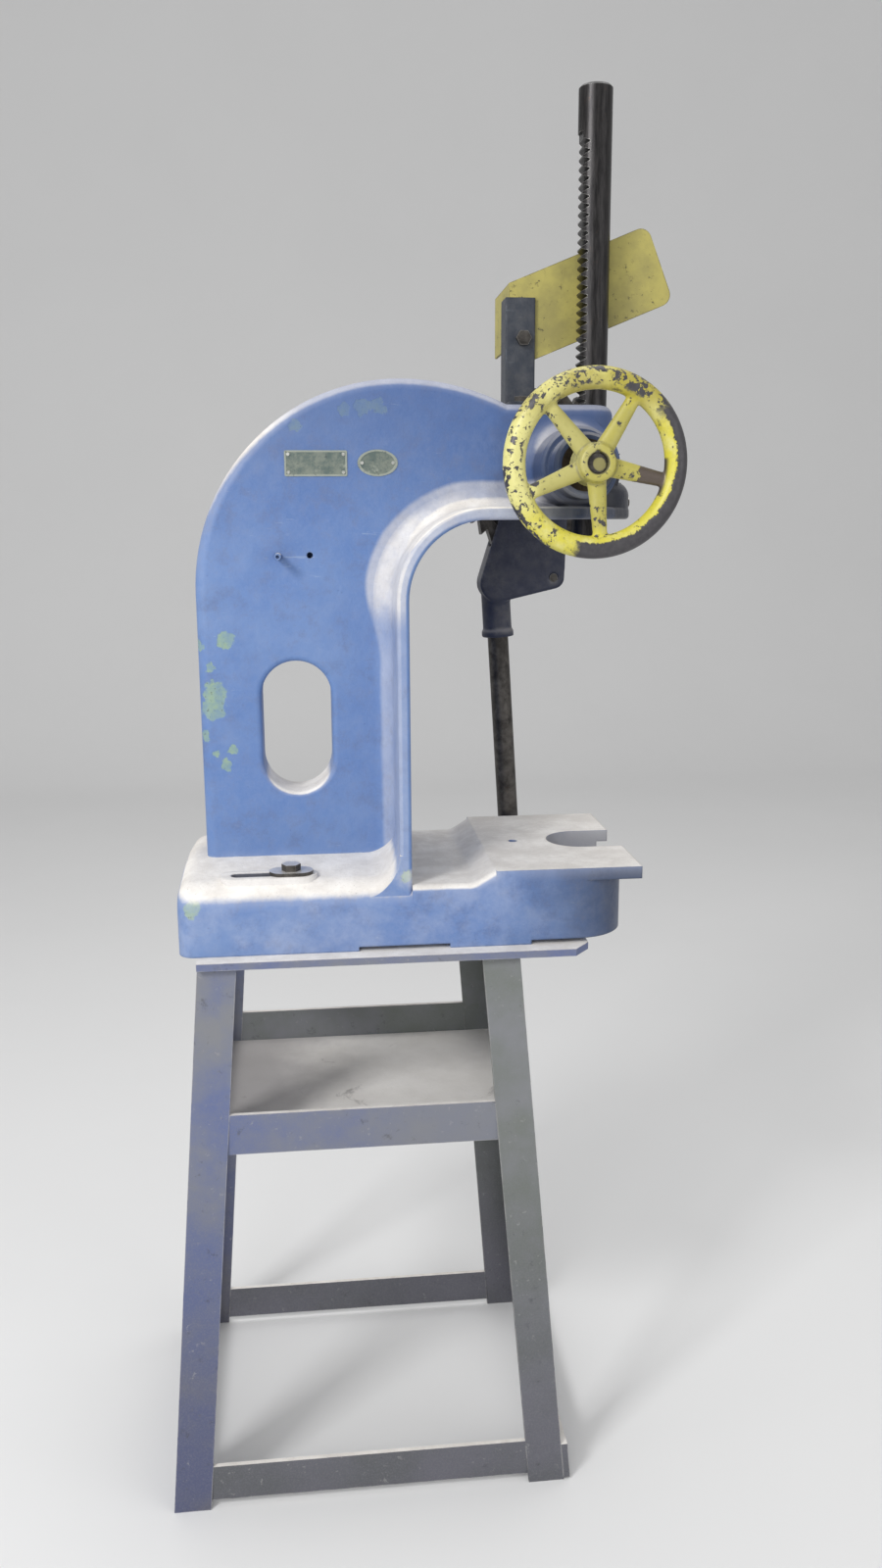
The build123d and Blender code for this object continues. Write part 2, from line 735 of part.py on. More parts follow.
def half_tooth(radius):
    # Half the angle of a pinion tooth at this radius, in degrees
    at_pitch = (circular_pitch / 4 - tooth_ease) / pitch_r
    here = acos(min(1.0, base_circle_r / radius))
    flank = radians(pressure_angle)
    return degrees(at_pitch + (tan(flank) - flank) - (tan(here) - here))


# Pinion cut in one piece with its shaft
mid_flank_r = (base_circle_r + pinion_tip_r) / 2
with BuildSketch() as pinion_tooth:
    with BuildLine():
        for sign in (-1, 1):
            Line(polar(pinion_root_r - 2, sign * half_tooth(base_circle_r)),
                 polar(base_circle_r, sign * half_tooth(base_circle_r)))
            ThreePointArc(
                polar(base_circle_r, sign * half_tooth(base_circle_r)),
                polar(mid_flank_r, sign * half_tooth(mid_flank_r)),
                polar(pinion_tip_r, sign * half_tooth(pinion_tip_r)),
            )
        Line(polar(pinion_tip_r, -half_tooth(pinion_tip_r)), polar(pinion_tip_r, half_tooth(pinion_tip_r)))
        Line(polar(pinion_root_r - 2, -half_tooth(base_circle_r)),
             polar(pinion_root_r - 2, half_tooth(base_circle_r)))
    make_face()

with BuildPart() as pinion_shaft:
    with BuildSketch(pinion_plane):
        Circle(pinion_root_r)
        with PolarLocations(0, pinion_teeth):
            add(pinion_tooth.sketch)
    extrude(amount=pinion_half_w, both=True)
    with BuildSketch(at_y(-wheel_hub_back_y)):
        Circle(shaft_r)
    extrude(amount=-(wheel_hub_back_y - pinion_half_w))
    with BuildSketch(at_y(pinion_half_w)):
        Circle(shaft_r)
    extrude(amount=-(cheek_y - side_gap - pinion_half_w))
    with BuildSketch(at_y(-shaft_near_y)):
        Circle(wheel_seat_r)
    extrude(amount=-(shaft_near_y - wheel_hub_back_y))
    with BuildSketch(at_y(cheek_y - side_gap)):
        Circle(far_seat_r)
    extrude(amount=-(shaft_far_y - cheek_y + side_gap))
    for seat_r, key_y in ((wheel_seat_r, wheel_key_y), (far_seat_r, ratchet_y)):
        with BuildSketch(at_y(key_y)):
            with Locations((0, seat_r)):
                Rectangle(key_w + 2 * key_gap, key_w + 2 * key_gap)
        extrude(amount=min(key_length, 2 * fork_half) / 2, both=True, mode=Mode.SUBTRACT)
    end_edges = pinion_shaft.edges().filter_by(GeomType.CIRCLE).sort_by(Axis.Y)
    chamfer([end_edges[0], end_edges[-1]], length=shaft_chamfer)
write(pinion_shaft, "pinion_shaft")

# Flanged bronze bushes, pressed in from each side
for side, sy, seat_r in (("near", -1, near_bush_r), ("far", 1, far_bush_r)):
    with BuildPart() as bush:
        with BuildSketch(at_y(sy * bearing_y)):
            Circle(seat_r)
            Circle(shaft_r + running_fit, mode=Mode.SUBTRACT)
        extrude(amount=sy * bush_length)
        with BuildSketch(at_y(sy * bearing_y)):
            Circle(seat_r + bush_flange_over)
            Circle(shaft_r + running_fit, mode=Mode.SUBTRACT)
        extrude(amount=-sy * bush_flange_t)
    write(bush, f"bush_{side}")

# Handwheel: round rim, five tapered spokes and a long hub, cast in one piece
with BuildPart() as handwheel:
    with BuildSketch(boss_plane):
        with Locations((spoke_r, -wheel_y)):
            Circle(rim_r)
    revolve(axis=pinion_axis)
    for spoke in range(spoke_count):
        angle = spoke_first_deg + spoke * 360.0 / spoke_count
        along = Vector(cos(radians(angle)), 0, sin(radians(angle)))
        for radius, width, thick in ((wheel_hub_r - 6, spoke_root_w, spoke_root_t),
                                     (spoke_r - rim_r / 3, spoke_tip_w, spoke_tip_t)):
            centre = Vector(pinion_x, -wheel_y, pinion_z) + along * radius
            with BuildSketch(Plane(origin=centre, x_dir=(0, 1, 0), z_dir=along)):
                Ellipse(thick / 2, width / 2)
        loft()
    with BuildSketch(boss_plane):
        with BuildLine():
            Polyline(
                (0, -wheel_hub_back_y),
                (wheel_hub_back_r, -wheel_hub_back_y),
                (wheel_hub_r + 1, -wheel_y + rim_r),
                (wheel_hub_r, -wheel_hub_face_y + wheel_lip),
                (wheel_hub_r - 2, -wheel_hub_face_y),
                (0, -wheel_hub_face_y),
                close=True,
            )
        make_face()
    revolve(axis=pinion_axis)
    with BuildSketch(at_y(-wheel_hub_face_y)):
        Circle(wheel_seat_r + running_fit)
    extrude(amount=-(wheel_hub_face_y - wheel_hub_back_y), mode=Mode.SUBTRACT)
    with BuildSketch(at_y(-wheel_hub_face_y)):
        with Locations((0, wheel_seat_r)):
            Rectangle(key_w + 2 * key_gap, key_w + 2 * key_gap)
    extrude(amount=-(wheel_hub_face_y - wheel_hub_back_y), mode=Mode.SUBTRACT)
    hub_screw_y = -(wheel_hub_back_y + wheel_y - rim_r) / 2
    with BuildSketch(Plane.YZ.offset(pinion_x)):
        with Locations((hub_screw_y, pinion_z)):
            Circle(set_screw_r)
    extrude(amount=wheel_hub_back_r + 2, mode=Mode.SUBTRACT)
write(handwheel, "handwheel")

for name, seat_r, key_y in (("handwheel_key", wheel_seat_r, wheel_key_y),
                            ("ratchet_key", far_seat_r, ratchet_y)):
    with BuildPart() as key:
        with BuildSketch(at_y(key_y)):
            with Locations((0, seat_r)):
                Rectangle(key_w, key_w)
        extrude(amount=min(key_length, 2 * fork_half) / 2 - key_gap, both=True)
    write(key, name)

with BuildPart() as handwheel_set_screw:
    with BuildSketch(Plane.YZ.offset(pinion_x + wheel_seat_r + key_gap)):
        with Locations((hub_screw_y, pinion_z)):
            Circle(set_screw_r - running_fit)
    extrude(amount=set_screw_length)
write(handwheel_set_screw, "handwheel_set_screw")

# Ratchet wheel: saw teeth round a rim, a thin web and a keyed hub
tooth_points = []
for tooth in range(ratchet_teeth):
    tip_angle = ratchet_phase + tooth * ratchet_step
    tooth_points += [polar(ratchet_r, tip_angle), polar(ratchet_root_r, tip_angle + 0.3)]
with BuildPart() as ratchet_wheel:
    with BuildSketch(at_y(ratchet_y)):
        with BuildLine():
            Polyline(*tooth_points, close=True)
        make_face()
    extrude(amount=ratchet_rim_w / 2, both=True)
    for face_sign in (-1, 1):
        with BuildSketch(at_y(ratchet_y + face_sign * ratchet_rim_w / 2)):
            Circle(ratchet_rim_r)
        extrude(amount=face_sign * (ratchet_rim_w - ratchet_web_t) / 2, mode=Mode.SUBTRACT)
    with BuildSketch(at_y(ratchet_y)):
        Circle(ratchet_hub_r)
    extrude(amount=fork_half - side_gap, both=True)
    with BuildSketch(at_y(ratchet_y)):
        Circle(far_seat_r + running_fit)
        with Locations((0, far_seat_r)):
            Rectangle(key_w + 2 * key_gap, key_w + 2 * key_gap)
    extrude(amount=fork_half, both=True, mode=Mode.SUBTRACT)
write(ratchet_wheel, "ratchet_wheel")

# Lever head: two cheeks over the ratchet, bridged outside its teeth, with a side socket
bar_down = Vector(sin(radians(bar_tilt_deg)), 0, -cos(radians(bar_tilt_deg)))
socket_middle = Vector(pinion_x + socket_u, ratchet_y, pinion_z + socket_v)
socket_top = Plane(origin=socket_middle - bar_down * socket_back, x_dir=(0, 1, 0), z_dir=bar_down)
socket_length = socket_back + socket_front
screw_steps = (socket_length * 0.35, socket_length * 0.72)
with BuildPart() as lever_head:
    for cheek_start in (cheek_y, ratchet_y + fork_half):
        with BuildSketch(at_y(cheek_start)) as cheek:
            Circle(cheek_hub_r)
            with Locations((socket_u, bridge_v)):
                Circle(bridge_r)
            with Locations((pawl_pivot_u, pawl_pivot_v)):
                Circle(pawl_lug_r)
            make_hull()
        extrude(amount=-cheek_t)
    with BuildSketch(at_y(ratchet_y)) as bridge:
        Circle(cheek_hub_r)
        with Locations((socket_u, bridge_v)):
            Circle(bridge_r)
        with Locations((pawl_pivot_u, pawl_pivot_v)):
            Circle(pawl_lug_r)
        make_hull()
        Circle(ratchet_r + wheel_clear, mode=Mode.SUBTRACT)
        with Locations((bridge_edge_u + ratchet_r, pawl_pivot_v)):
            Rectangle(2 * ratchet_r, 4 * ratchet_r, mode=Mode.SUBTRACT)
    extrude(amount=fork_half, both=True)
    with BuildSketch(socket_top):
        Circle(socket_r)
    extrude(amount=socket_length)
    with BuildSketch(socket_top.offset(socket_length - socket_lip_h)):
        Circle(socket_lip_r)
    extrude(amount=socket_lip_h)
    with BuildSketch(socket_top.offset(bar_inset)):
        Circle(bar_r + bar_fit)
    extrude(amount=socket_length - bar_inset, mode=Mode.SUBTRACT)
    with BuildSketch(at_y(ratchet_y)):
        Circle(far_seat_r + running_fit)
        with Locations((pawl_pivot_u, pawl_pivot_v)):
            Circle(pawl_pin_r)
    extrude(amount=fork_half + cheek_t, both=True, mode=Mode.SUBTRACT)
    for step in screw_steps:
        screw_spot = socket_middle + bar_down * (step - socket_back)
        with BuildSketch(Plane(origin=screw_spot, x_dir=(1, 0, 0), z_dir=(0, 1, 0))):
            Circle(small_bolt_r)
        extrude(amount=socket_lip_r + cheek_t, mode=Mode.SUBTRACT)
write(lever_head, "lever_head")

with BuildPart() as lever_bar:
    with BuildSketch(socket_top.offset(bar_inset + side_gap)):
        Circle(bar_r)
    extrude(amount=bar_length)
    chamfer(lever_bar.edges().filter_by(GeomType.CIRCLE), length=2)
write(lever_bar, "lever_bar")

with BuildPart() as lever_clamp_screws:
    for step in screw_steps:
        screw_spot = socket_middle + bar_down * (step - socket_back)
        screw_plane = Plane(origin=screw_spot, x_dir=(1, 0, 0), z_dir=(0, 1, 0))
        with BuildSketch(screw_plane.offset(bar_r + side_gap)):
            Circle(small_bolt_r - running_fit)
        extrude(amount=cheek_t + clamp_stub)
        with BuildSketch(screw_plane.offset(socket_lip_r + cheek_t / 2)):
            Rectangle(clamp_head_w, clamp_head_w)
        extrude(amount=clamp_head_h)
write(lever_clamp_screws, "lever_clamp_screws")

# Pawl, dropped clear of the teeth, and its pin
face_angle = ratchet_phase - 11 * ratchet_step
nose = polar(ratchet_r - pawl_nose_depth, face_angle + pawl_nose_lag)
neck = polar(ratchet_r + pawl_neck_depth, face_angle + pawl_neck_lag)
pawl_pivot = Vector(pinion_x + pawl_pivot_u, ratchet_y, pinion_z + pawl_pivot_v)
pawl_plane = Plane(
    origin=pawl_pivot,
    x_dir=(cos(radians(pawl_park_deg)), 0, sin(radians(pawl_park_deg))),
    z_dir=(0, -1, 0),
)
with BuildPart() as pawl:
    with BuildSketch(pawl_plane):
        Circle(pawl_boss_r)
        with Locations((neck[0] - pawl_pivot_u, neck[1] - pawl_pivot_v)):
            Circle(pawl_neck_r)
        make_hull()
    extrude(amount=ratchet_rim_w / 2, both=True)
    with BuildSketch(pawl_plane):
        with Locations((neck[0] - pawl_pivot_u, neck[1] - pawl_pivot_v)):
            Circle(pawl_neck_r)
        with Locations((nose[0] - pawl_pivot_u, nose[1] - pawl_pivot_v)):
            Circle(pawl_nose_r)
        make_hull()
    extrude(amount=ratchet_rim_w / 2, both=True)
    with BuildSketch(pawl_plane):
        Circle(pawl_pin_r + running_fit)
    extrude(amount=ratchet_rim_w / 2, both=True, mode=Mode.SUBTRACT)
write(pawl, "pawl")

with BuildPart() as pawl_pin:
    with BuildSketch(Plane(origin=pawl_pivot, x_dir=(1, 0, 0), z_dir=(0, -1, 0))):
        Circle(pawl_pin_r)
    extrude(amount=fork_half + cheek_t, both=True)
    with BuildSketch(at_y(collar_y)):
        with Locations((pawl_pivot_u, pawl_pivot_v)):
            Circle(pawl_boss_r - 2)
    extrude(amount=-3)
write(pawl_pin, "pawl_pin")

# Collar that keeps the lever head on the shaft, with its set screw
with BuildPart() as shaft_collar:
    with BuildSketch(at_y(collar_y + side_gap)):
        Circle(collar_outer_r)
        Circle(far_seat_r + running_fit, mode=Mode.SUBTRACT)
    extrude(amount=-shaft_collar_w)
    chamfer(shaft_collar.edges().filter_by(GeomType.CIRCLE).sort_by(SortBy.RADIUS)[-2:], length=1)
    collar_screw_y = (collar_y + side_gap + shaft_far_y) / 2
    with BuildSketch(Plane.YZ.offset(pinion_x)):
        with Locations((collar_screw_y, pinion_z)):
            Circle(set_screw_r)
    extrude(amount=collar_outer_r + 1, mode=Mode.SUBTRACT)
write(shaft_collar, "shaft_collar")

with BuildPart() as collar_set_screw:
    with BuildSketch(Plane.YZ.offset(pinion_x + far_seat_r + key_gap)):
        with Locations((collar_screw_y, pinion_z)):
            Circle(set_screw_r - running_fit)
    extrude(amount=set_screw_length)
write(collar_set_screw, "collar_set_screw")

# Ram brake: a soft pad and the screw that presses it, in the front of the collar
brake_pad_x = ram_x + ram_r + side_gap
with BuildPart() as ram_brake_pad:
    with BuildSketch(Plane.YZ.offset(brake_pad_x)):
        with Locations((0, brake_z)):
            Circle(brake_r)
    extrude(amount=brake_pad_t)
write(ram_brake_pad, "ram_brake_pad")

with BuildPart() as ram_brake_screw:
    with BuildSketch(Plane.YZ.offset(brake_pad_x + brake_pad_t)):
        with Locations((0, brake_z)):
            Circle(brake_r)
    extrude(amount=collar_r - collar_step - ram_r - side_gap - brake_pad_t + 2)
write(ram_brake_screw, "ram_brake_screw")

# Hold-down bolts of the base, with their clamp washers and nuts
with BuildPart() as foot_washers:
    with BuildSketch(Plane.XY.offset(foot_boss_z)):
        with Locations((bolt_x, -foot_y), (bolt_x, foot_y)):
            SlotOverall(clamp_washer_length, clamp_washer_width)
            Circle(bolt_r + running_fit, mode=Mode.SUBTRACT)
    extrude(amount=clamp_washer_t)
write(foot_washers, "foot_washers")

bolt_head_z = foot_boss_z + clamp_washer_t
with BuildPart() as foot_bolts:
    with BuildSketch(Plane.XY.offset(bolt_head_z)):
        with Locations((bolt_x, -foot_y), (bolt_x, foot_y)):
            RegularPolygon(bolt_head_r, 6)
    extrude(amount=bolt_head_h)
    with BuildSketch(Plane.XY.offset(bolt_low_z)):
        with Locations((bolt_x, -foot_y), (bolt_x, foot_y)):
            Circle(bolt_r)
    extrude(amount=bolt_head_z - bolt_low_z)
write(foot_bolts, "foot_bolts")

with BuildPart() as foot_nuts:
    with BuildSketch(Plane.XY.offset(leg_top_z)):
        with Locations((bolt_x, -foot_y), (bolt_x, foot_y)):
            RegularPolygon(bolt_head_r, 6)
            Circle(bolt_r + running_fit, mode=Mode.SUBTRACT)
    extrude(amount=-bolt_head_h - 2)
write(foot_nuts, "foot_nuts")

# Guard post: a length of angle iron on a small foot plate
post_bolt_x = post_x + post_w * 0.6
with BuildPart() as guard_post:
    with BuildSketch(Plane.XY.offset(head_top_z)):
        with BuildLine():
            Polyline(
                (post_x, post_y),
                (post_x + post_w, post_y),
                (post_x + post_w, post_far_y),
                (post_x + post_t, post_far_y),
                (post_x + post_t, post_y + post_w),
                (post_x, post_y + post_w),
                close=True,
            )
        make_face()
    extrude(amount=post_top_z - head_top_z)
    with BuildSketch(Plane.XY.offset(head_top_z)):
        with Locations((post_x + post_w / 2, post_y - foot_plate_front / 2)):
            Rectangle(post_w, foot_plate_front)
            Circle(small_bolt_r + running_fit, mode=Mode.SUBTRACT)
    extrude(amount=post_t)
    with BuildSketch(Plane.XZ.offset(-post_far_y)):
        with Locations((post_bolt_x, guard_bolt_z)):
            Circle(small_bolt_r + running_fit)
    extrude(amount=post_t, mode=Mode.SUBTRACT)
write(guard_post, "guard_post")

# Guard plate: a bent sheet, sloping up behind the ram, with a wing turned back at its left end
slope = tan(radians(guard_slope_deg))
guard_left_x = post_x + post_t
end_run = guard_width * sin(radians(guard_slope_deg))
guard_corner_x = guard_reach_x + guard_corner_r * (
    cos(radians(guard_slope_deg)) + sin(radians(guard_slope_deg)) - 1)
end_drop = guard_width * cos(radians(guard_slope_deg))
top_run = guard_corner_x - end_run - guard_left_x
low_left_z = guard_top_z + slope * top_run - end_drop - slope * (guard_corner_x - post_x - post_w)
with BuildPart() as guard_plate:
    with BuildSketch(Plane.XZ.offset(-post_far_y)) as guard_face:
        with BuildLine():
            Polyline(
                (guard_left_x, guard_top_z),
                (guard_left_x + top_run, guard_top_z + slope * top_run),
                (guard_corner_x, guard_top_z + slope * top_run - end_drop),
                (post_x + post_w, low_left_z),
                (guard_left_x, guard_left_low_z),
                close=True,
            )
        make_face()
        fillet(guard_face.vertices().group_by(Axis.X)[-1] + guard_face.vertices().group_by(Axis.Y)[-1],
               radius=guard_corner_r)
        with Locations((post_bolt_x, guard_bolt_z)):
            Circle(small_bolt_r + running_fit, mode=Mode.SUBTRACT)
    extrude(amount=-guard_t)
    with BuildSketch(Plane.YZ.offset(guard_left_x)):
        with Locations((post_far_y + guard_depth / 2, (guard_left_low_z + guard_top_z) / 2)):
            Rectangle(guard_depth, guard_top_z - guard_left_low_z)
    extrude(amount=guard_t)
write(guard_plate, "guard_plate")

with BuildPart() as guard_bolt:
    with BuildSketch(Plane.XZ.offset(-post_y)):
        with Locations((post_bolt_x, guard_bolt_z)):
            RegularPolygon(small_head_r, 6)
    extrude(amount=small_head_h)
    with BuildSketch(Plane.XZ.offset(-post_y)):
        with Locations((post_bolt_x, guard_bolt_z)):
            Circle(small_bolt_r)
    extrude(amount=-(post_t + guard_t + small_head_h + 3))
write(guard_bolt, "guard_bolt")

with BuildPart() as guard_nut:
    with BuildSketch(Plane.XZ.offset(-(post_far_y + guard_t))):
        with Locations((post_bolt_x, guard_bolt_z)):
            RegularPolygon(small_head_r, 6)
            Circle(small_bolt_r + running_fit, mode=Mode.SUBTRACT)
    extrude(amount=-small_head_h)
write(guard_nut, "guard_nut")

post_screw_z = head_top_z + post_t
with BuildPart() as post_screw:
    with BuildSketch(Plane.XY.offset(post_screw_z)):
        with Locations((post_x + post_w / 2, post_y - foot_plate_front / 2)):
            RegularPolygon(small_head_r, 6)
    extrude(amount=small_head_h)
    with BuildSketch(Plane.XY.offset(post_screw_z)):
        with Locations((post_x + post_w / 2, post_y - foot_plate_front / 2)):
            Circle(small_bolt_r)
    extrude(amount=-25)
write(post_screw, "post_screw")

# Bare name plate and oval badge, with their rivets
with BuildPart() as name_plate:
    with BuildSketch(Plane.XZ.offset(web_half)):
        with Locations((name_x, name_z)):
            RectangleRounded(name_w, name_h, 2)
    extrude(amount=plate_t)
write(name_plate, "name_plate")

with BuildPart() as oval_badge:
    with BuildSketch(Plane.XZ.offset(web_half)):
        with Locations((badge_x, badge_z)):
            Ellipse(badge_w / 2, badge_h / 2)
    extrude(amount=plate_t)
write(oval_badge, "oval_badge")

rivet_spots = [(name_x + i * (name_w / 2 - 5), name_z + j * (name_h / 2 - 5)) for i in (-1, 1) for j in (-1, 1)]
rivet_spots += [(badge_x - badge_w / 2 + 6, badge_z), (badge_x + badge_w / 2 - 6, badge_z)]
with BuildPart() as plate_rivets:
    with BuildSketch(Plane.XZ.offset(web_half + plate_t)):
        with Locations(*rivet_spots):
            Circle(rivet_r)
    extrude(amount=1.2, taper=25)
write(plate_rivets, "plate_rivets")

# Hollow-ended stud in the side of the web
with BuildPart() as side_stud:
    with BuildSketch(Plane.XZ.offset(web_half - stud_in)):
        with Locations((stud_x, stud_z)):
            Circle(stud_r)
    extrude(amount=stud_in + stud_out)
    with BuildSketch(Plane.XZ.offset(web_half + stud_out)):
        with Locations((stud_x, stud_z)):
            Circle(stud_r / 2)
    extrude(amount=-6, mode=Mode.SUBTRACT)
write(side_stud, "side_stud")
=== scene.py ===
import bpy
import bmesh
import math
from mathutils import Matrix, Vector


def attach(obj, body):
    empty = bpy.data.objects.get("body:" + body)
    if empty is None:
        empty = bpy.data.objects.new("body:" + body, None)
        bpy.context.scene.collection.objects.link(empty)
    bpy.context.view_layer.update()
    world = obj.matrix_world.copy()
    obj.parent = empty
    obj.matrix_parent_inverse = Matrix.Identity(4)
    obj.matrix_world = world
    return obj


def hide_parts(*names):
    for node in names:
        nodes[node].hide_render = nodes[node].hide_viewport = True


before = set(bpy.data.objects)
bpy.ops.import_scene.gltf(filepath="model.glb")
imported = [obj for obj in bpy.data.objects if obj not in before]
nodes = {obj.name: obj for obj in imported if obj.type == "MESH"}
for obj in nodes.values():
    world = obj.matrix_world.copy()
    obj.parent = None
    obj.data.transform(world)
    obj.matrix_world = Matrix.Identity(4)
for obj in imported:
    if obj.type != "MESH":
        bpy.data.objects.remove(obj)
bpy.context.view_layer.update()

scene = bpy.context.scene

# Lengths are metres. In the node helpers a value may be a number or another node's output


def newMaterial(name):
    mat = bpy.data.materials.new(name)
    mat.use_nodes = True
    tree = mat.node_tree
    shader = [n for n in tree.nodes if n.type == "BSDF_PRINCIPLED"][0]
    return mat, tree, shader


def plug(tree, socket, value):
    if isinstance(value, bpy.types.NodeSocket):
        tree.links.new(value, socket)
    elif hasattr(value, "__len__") and len(value) == 3 and socket.type == "RGBA":
        socket.default_value = (*value, 1.0)
    else:
        socket.default_value = value


def calc(tree, operation, a, b=0.0):
    node = tree.nodes.new("ShaderNodeMath")
    node.operation = operation
    plug(tree, node.inputs[0], a)
    plug(tree, node.inputs[1], b)
    return node.outputs[0]


def times(tree, *values):
    product = values[0]
    for value in values[1:]:
        product = calc(tree, "MULTIPLY", product, value)
    return product


def plus(tree, a, b):
    return calc(tree, "ADD", a, b)


def minus(tree, a, b):
    return calc(tree, "SUBTRACT", a, b)


def most(tree, *values):
    top = values[0]
    for value in values[1:]:
        top = calc(tree, "MAXIMUM", top, value)
    return top


def unsigned(tree, value):
    return calc(tree, "ABSOLUTE", value)


def apart(tree, a, b):
    # Length of the diagonal over two sides
    return calc(tree, "SQRT", plus(tree, times(tree, a, a), times(tree, b, b)))


def objectCoords(tree):
    return tree.nodes.new("ShaderNodeTexCoord").outputs["Object"]


def surfaceNormal(tree):
    return tree.nodes.new("ShaderNodeTexCoord").outputs["Normal"]


def axisOf(tree, vector, axis):
    node = tree.nodes.new("ShaderNodeSeparateXYZ")
    tree.links.new(vector, node.inputs[0])
    return node.outputs[axis]


def placeFrom(tree, centre=(0.0, 0.0, 0.0)):
    # How far a point lies from a centre along X, Y and Z
    spot = objectCoords(tree)
    return [minus(tree, axisOf(tree, spot, axis), centre[axis]) for axis in range(3)]


def distanceTo(tree, place):
    node = tree.nodes.new("ShaderNodeVectorMath")
    node.operation = "DISTANCE"
    tree.links.new(objectCoords(tree), node.inputs[0])
    node.inputs[1].default_value = place
    return node.outputs["Value"]


def noise(tree, scale, detail=4.0, roughness=0.55, distortion=0.0, vector=None):
    node = tree.nodes.new("ShaderNodeTexNoise")
    node.inputs["Scale"].default_value = scale
    node.inputs["Detail"].default_value = detail
    node.inputs["Roughness"].default_value = roughness
    node.inputs["Distortion"].default_value = distortion
    tree.links.new(vector or objectCoords(tree), node.inputs["Vector"])
    return node.outputs["Fac"]


def uneven(tree, grain, depth):
    # Noise about zero, which makes the limit of a patch ragged
    return times(tree, minus(tree, noise(tree, *grain), 0.5), depth)


def stretched(tree, scale, turn=(0.0, 0.0, 0.0)):
    node = tree.nodes.new("ShaderNodeMapping")
    node.inputs["Scale"].default_value = scale
    node.inputs["Rotation"].default_value = turn
    tree.links.new(objectCoords(tree), node.inputs["Vector"])
    return node.outputs[0]


def step(tree, value, low, high):
    node = tree.nodes.new("ShaderNodeMapRange")
    node.interpolation_type = "SMOOTHSTEP"
    plug(tree, node.inputs["Value"], value)
    node.inputs["From Min"].default_value = low
    node.inputs["From Max"].default_value = high
    return node.outputs["Result"]


def within(tree, value, middle, half, soft=0.0006):
    # White where the value lies within half of the middle
    off = unsigned(tree, minus(tree, value, middle))
    return step(tree, off, half + soft, half - soft)


def patches(tree, spec):
    # Ragged patches: a noise cut between two of its values, shown to a share
    vector = None
    if "stretch" in spec:
        vector = stretched(tree, spec["stretch"], spec.get("turn", (0.0, 0.0, 0.0)))
    mask = step(tree, noise(tree, *spec["noise"], vector=vector), *spec["range"])
    return times(tree, mask, spec["share"]) if "share" in spec else mask


def blendColor(tree, mask, under, over):
    node = tree.nodes.new("ShaderNodeMix")
    node.data_type = "RGBA"
    plug(tree, node.inputs[0], mask)
    plug(tree, node.inputs[6], under)
    plug(tree, node.inputs[7], over)
    return node.outputs[2]


def blendValue(tree, mask, under, over):
    node = tree.nodes.new("ShaderNodeMix")
    plug(tree, node.inputs[0], mask)
    plug(tree, node.inputs[2], under)
    plug(tree, node.inputs[3], over)
    return node.outputs[0]


def bump(tree, height, strength, distance, after=None):
    node = tree.nodes.new("ShaderNodeBump")
    node.inputs["Strength"].default_value = strength
    node.inputs["Distance"].default_value = distance
    tree.links.new(height, node.inputs["Height"])
    if after:
        tree.links.new(after, node.inputs["Normal"])
    return node.outputs["Normal"]


def roughCast(tree, spec, after=None):
    return bump(tree, noise(tree, *spec["noise"]), spec["strength"], spec["distance"], after)


def softNormal(tree, radius):
    node = tree.nodes.new("ShaderNodeBevel")
    node.samples = 6
    node.inputs["Radius"].default_value = radius
    return node.outputs[0]


def nearEdge(tree, rounded, low, high):
    # White along convex and concave edges, from the rounded normal
    plain = tree.nodes.new("ShaderNodeNewGeometry")
    dot = tree.nodes.new("ShaderNodeVectorMath")
    dot.operation = "DOT_PRODUCT"
    tree.links.new(rounded, dot.inputs[0])
    tree.links.new(plain.outputs["Normal"], dot.inputs[1])
    return step(tree, minus(tree, 1.0, dot.outputs["Value"]), low, high)


def spots(tree, look):
    # Ragged patches at given points: (x, y, z, radius)
    wobble = uneven(tree, look["grain"], look["ragged"])
    mask = 0.0
    for *place, radius in look["places"]:
        edge = plus(tree, distanceTo(tree, place), wobble)
        mask = most(tree, mask, step(tree, edge, radius, radius * look["core"]))
    return mask


dustLook = {
    "pale": (0.86, 0.83, 0.79),
    "grey": (0.70, 0.665, 0.625),
    "dark": (0.30, 0.27, 0.24),
    "mottle": {"noise": (22.0, 6.0, 0.7), "range": (0.35, 0.7)},
    "specks": {"noise": (700.0, 2.0), "range": (0.64, 0.80)},
    "limit": (60.0, 6.0, 0.7),
    "roughness": 0.95,
}


def upwards(tree, low, high, breakup):
    # Where dust settles: faces that look up, with a ragged limit
    lean = axisOf(tree, surfaceNormal(tree), 2)
    return step(tree, plus(tree, lean, uneven(tree, dustLook["limit"], breakup)), low, high)


def dusted(tree, mask, paint):
    mottled = blendColor(tree, patches(tree, dustLook["mottle"]), dustLook["grey"], dustLook["pale"])
    specked = blendColor(tree, patches(tree, dustLook["specks"]), mottled, dustLook["dark"])
    return blendColor(tree, mask, paint, specked)


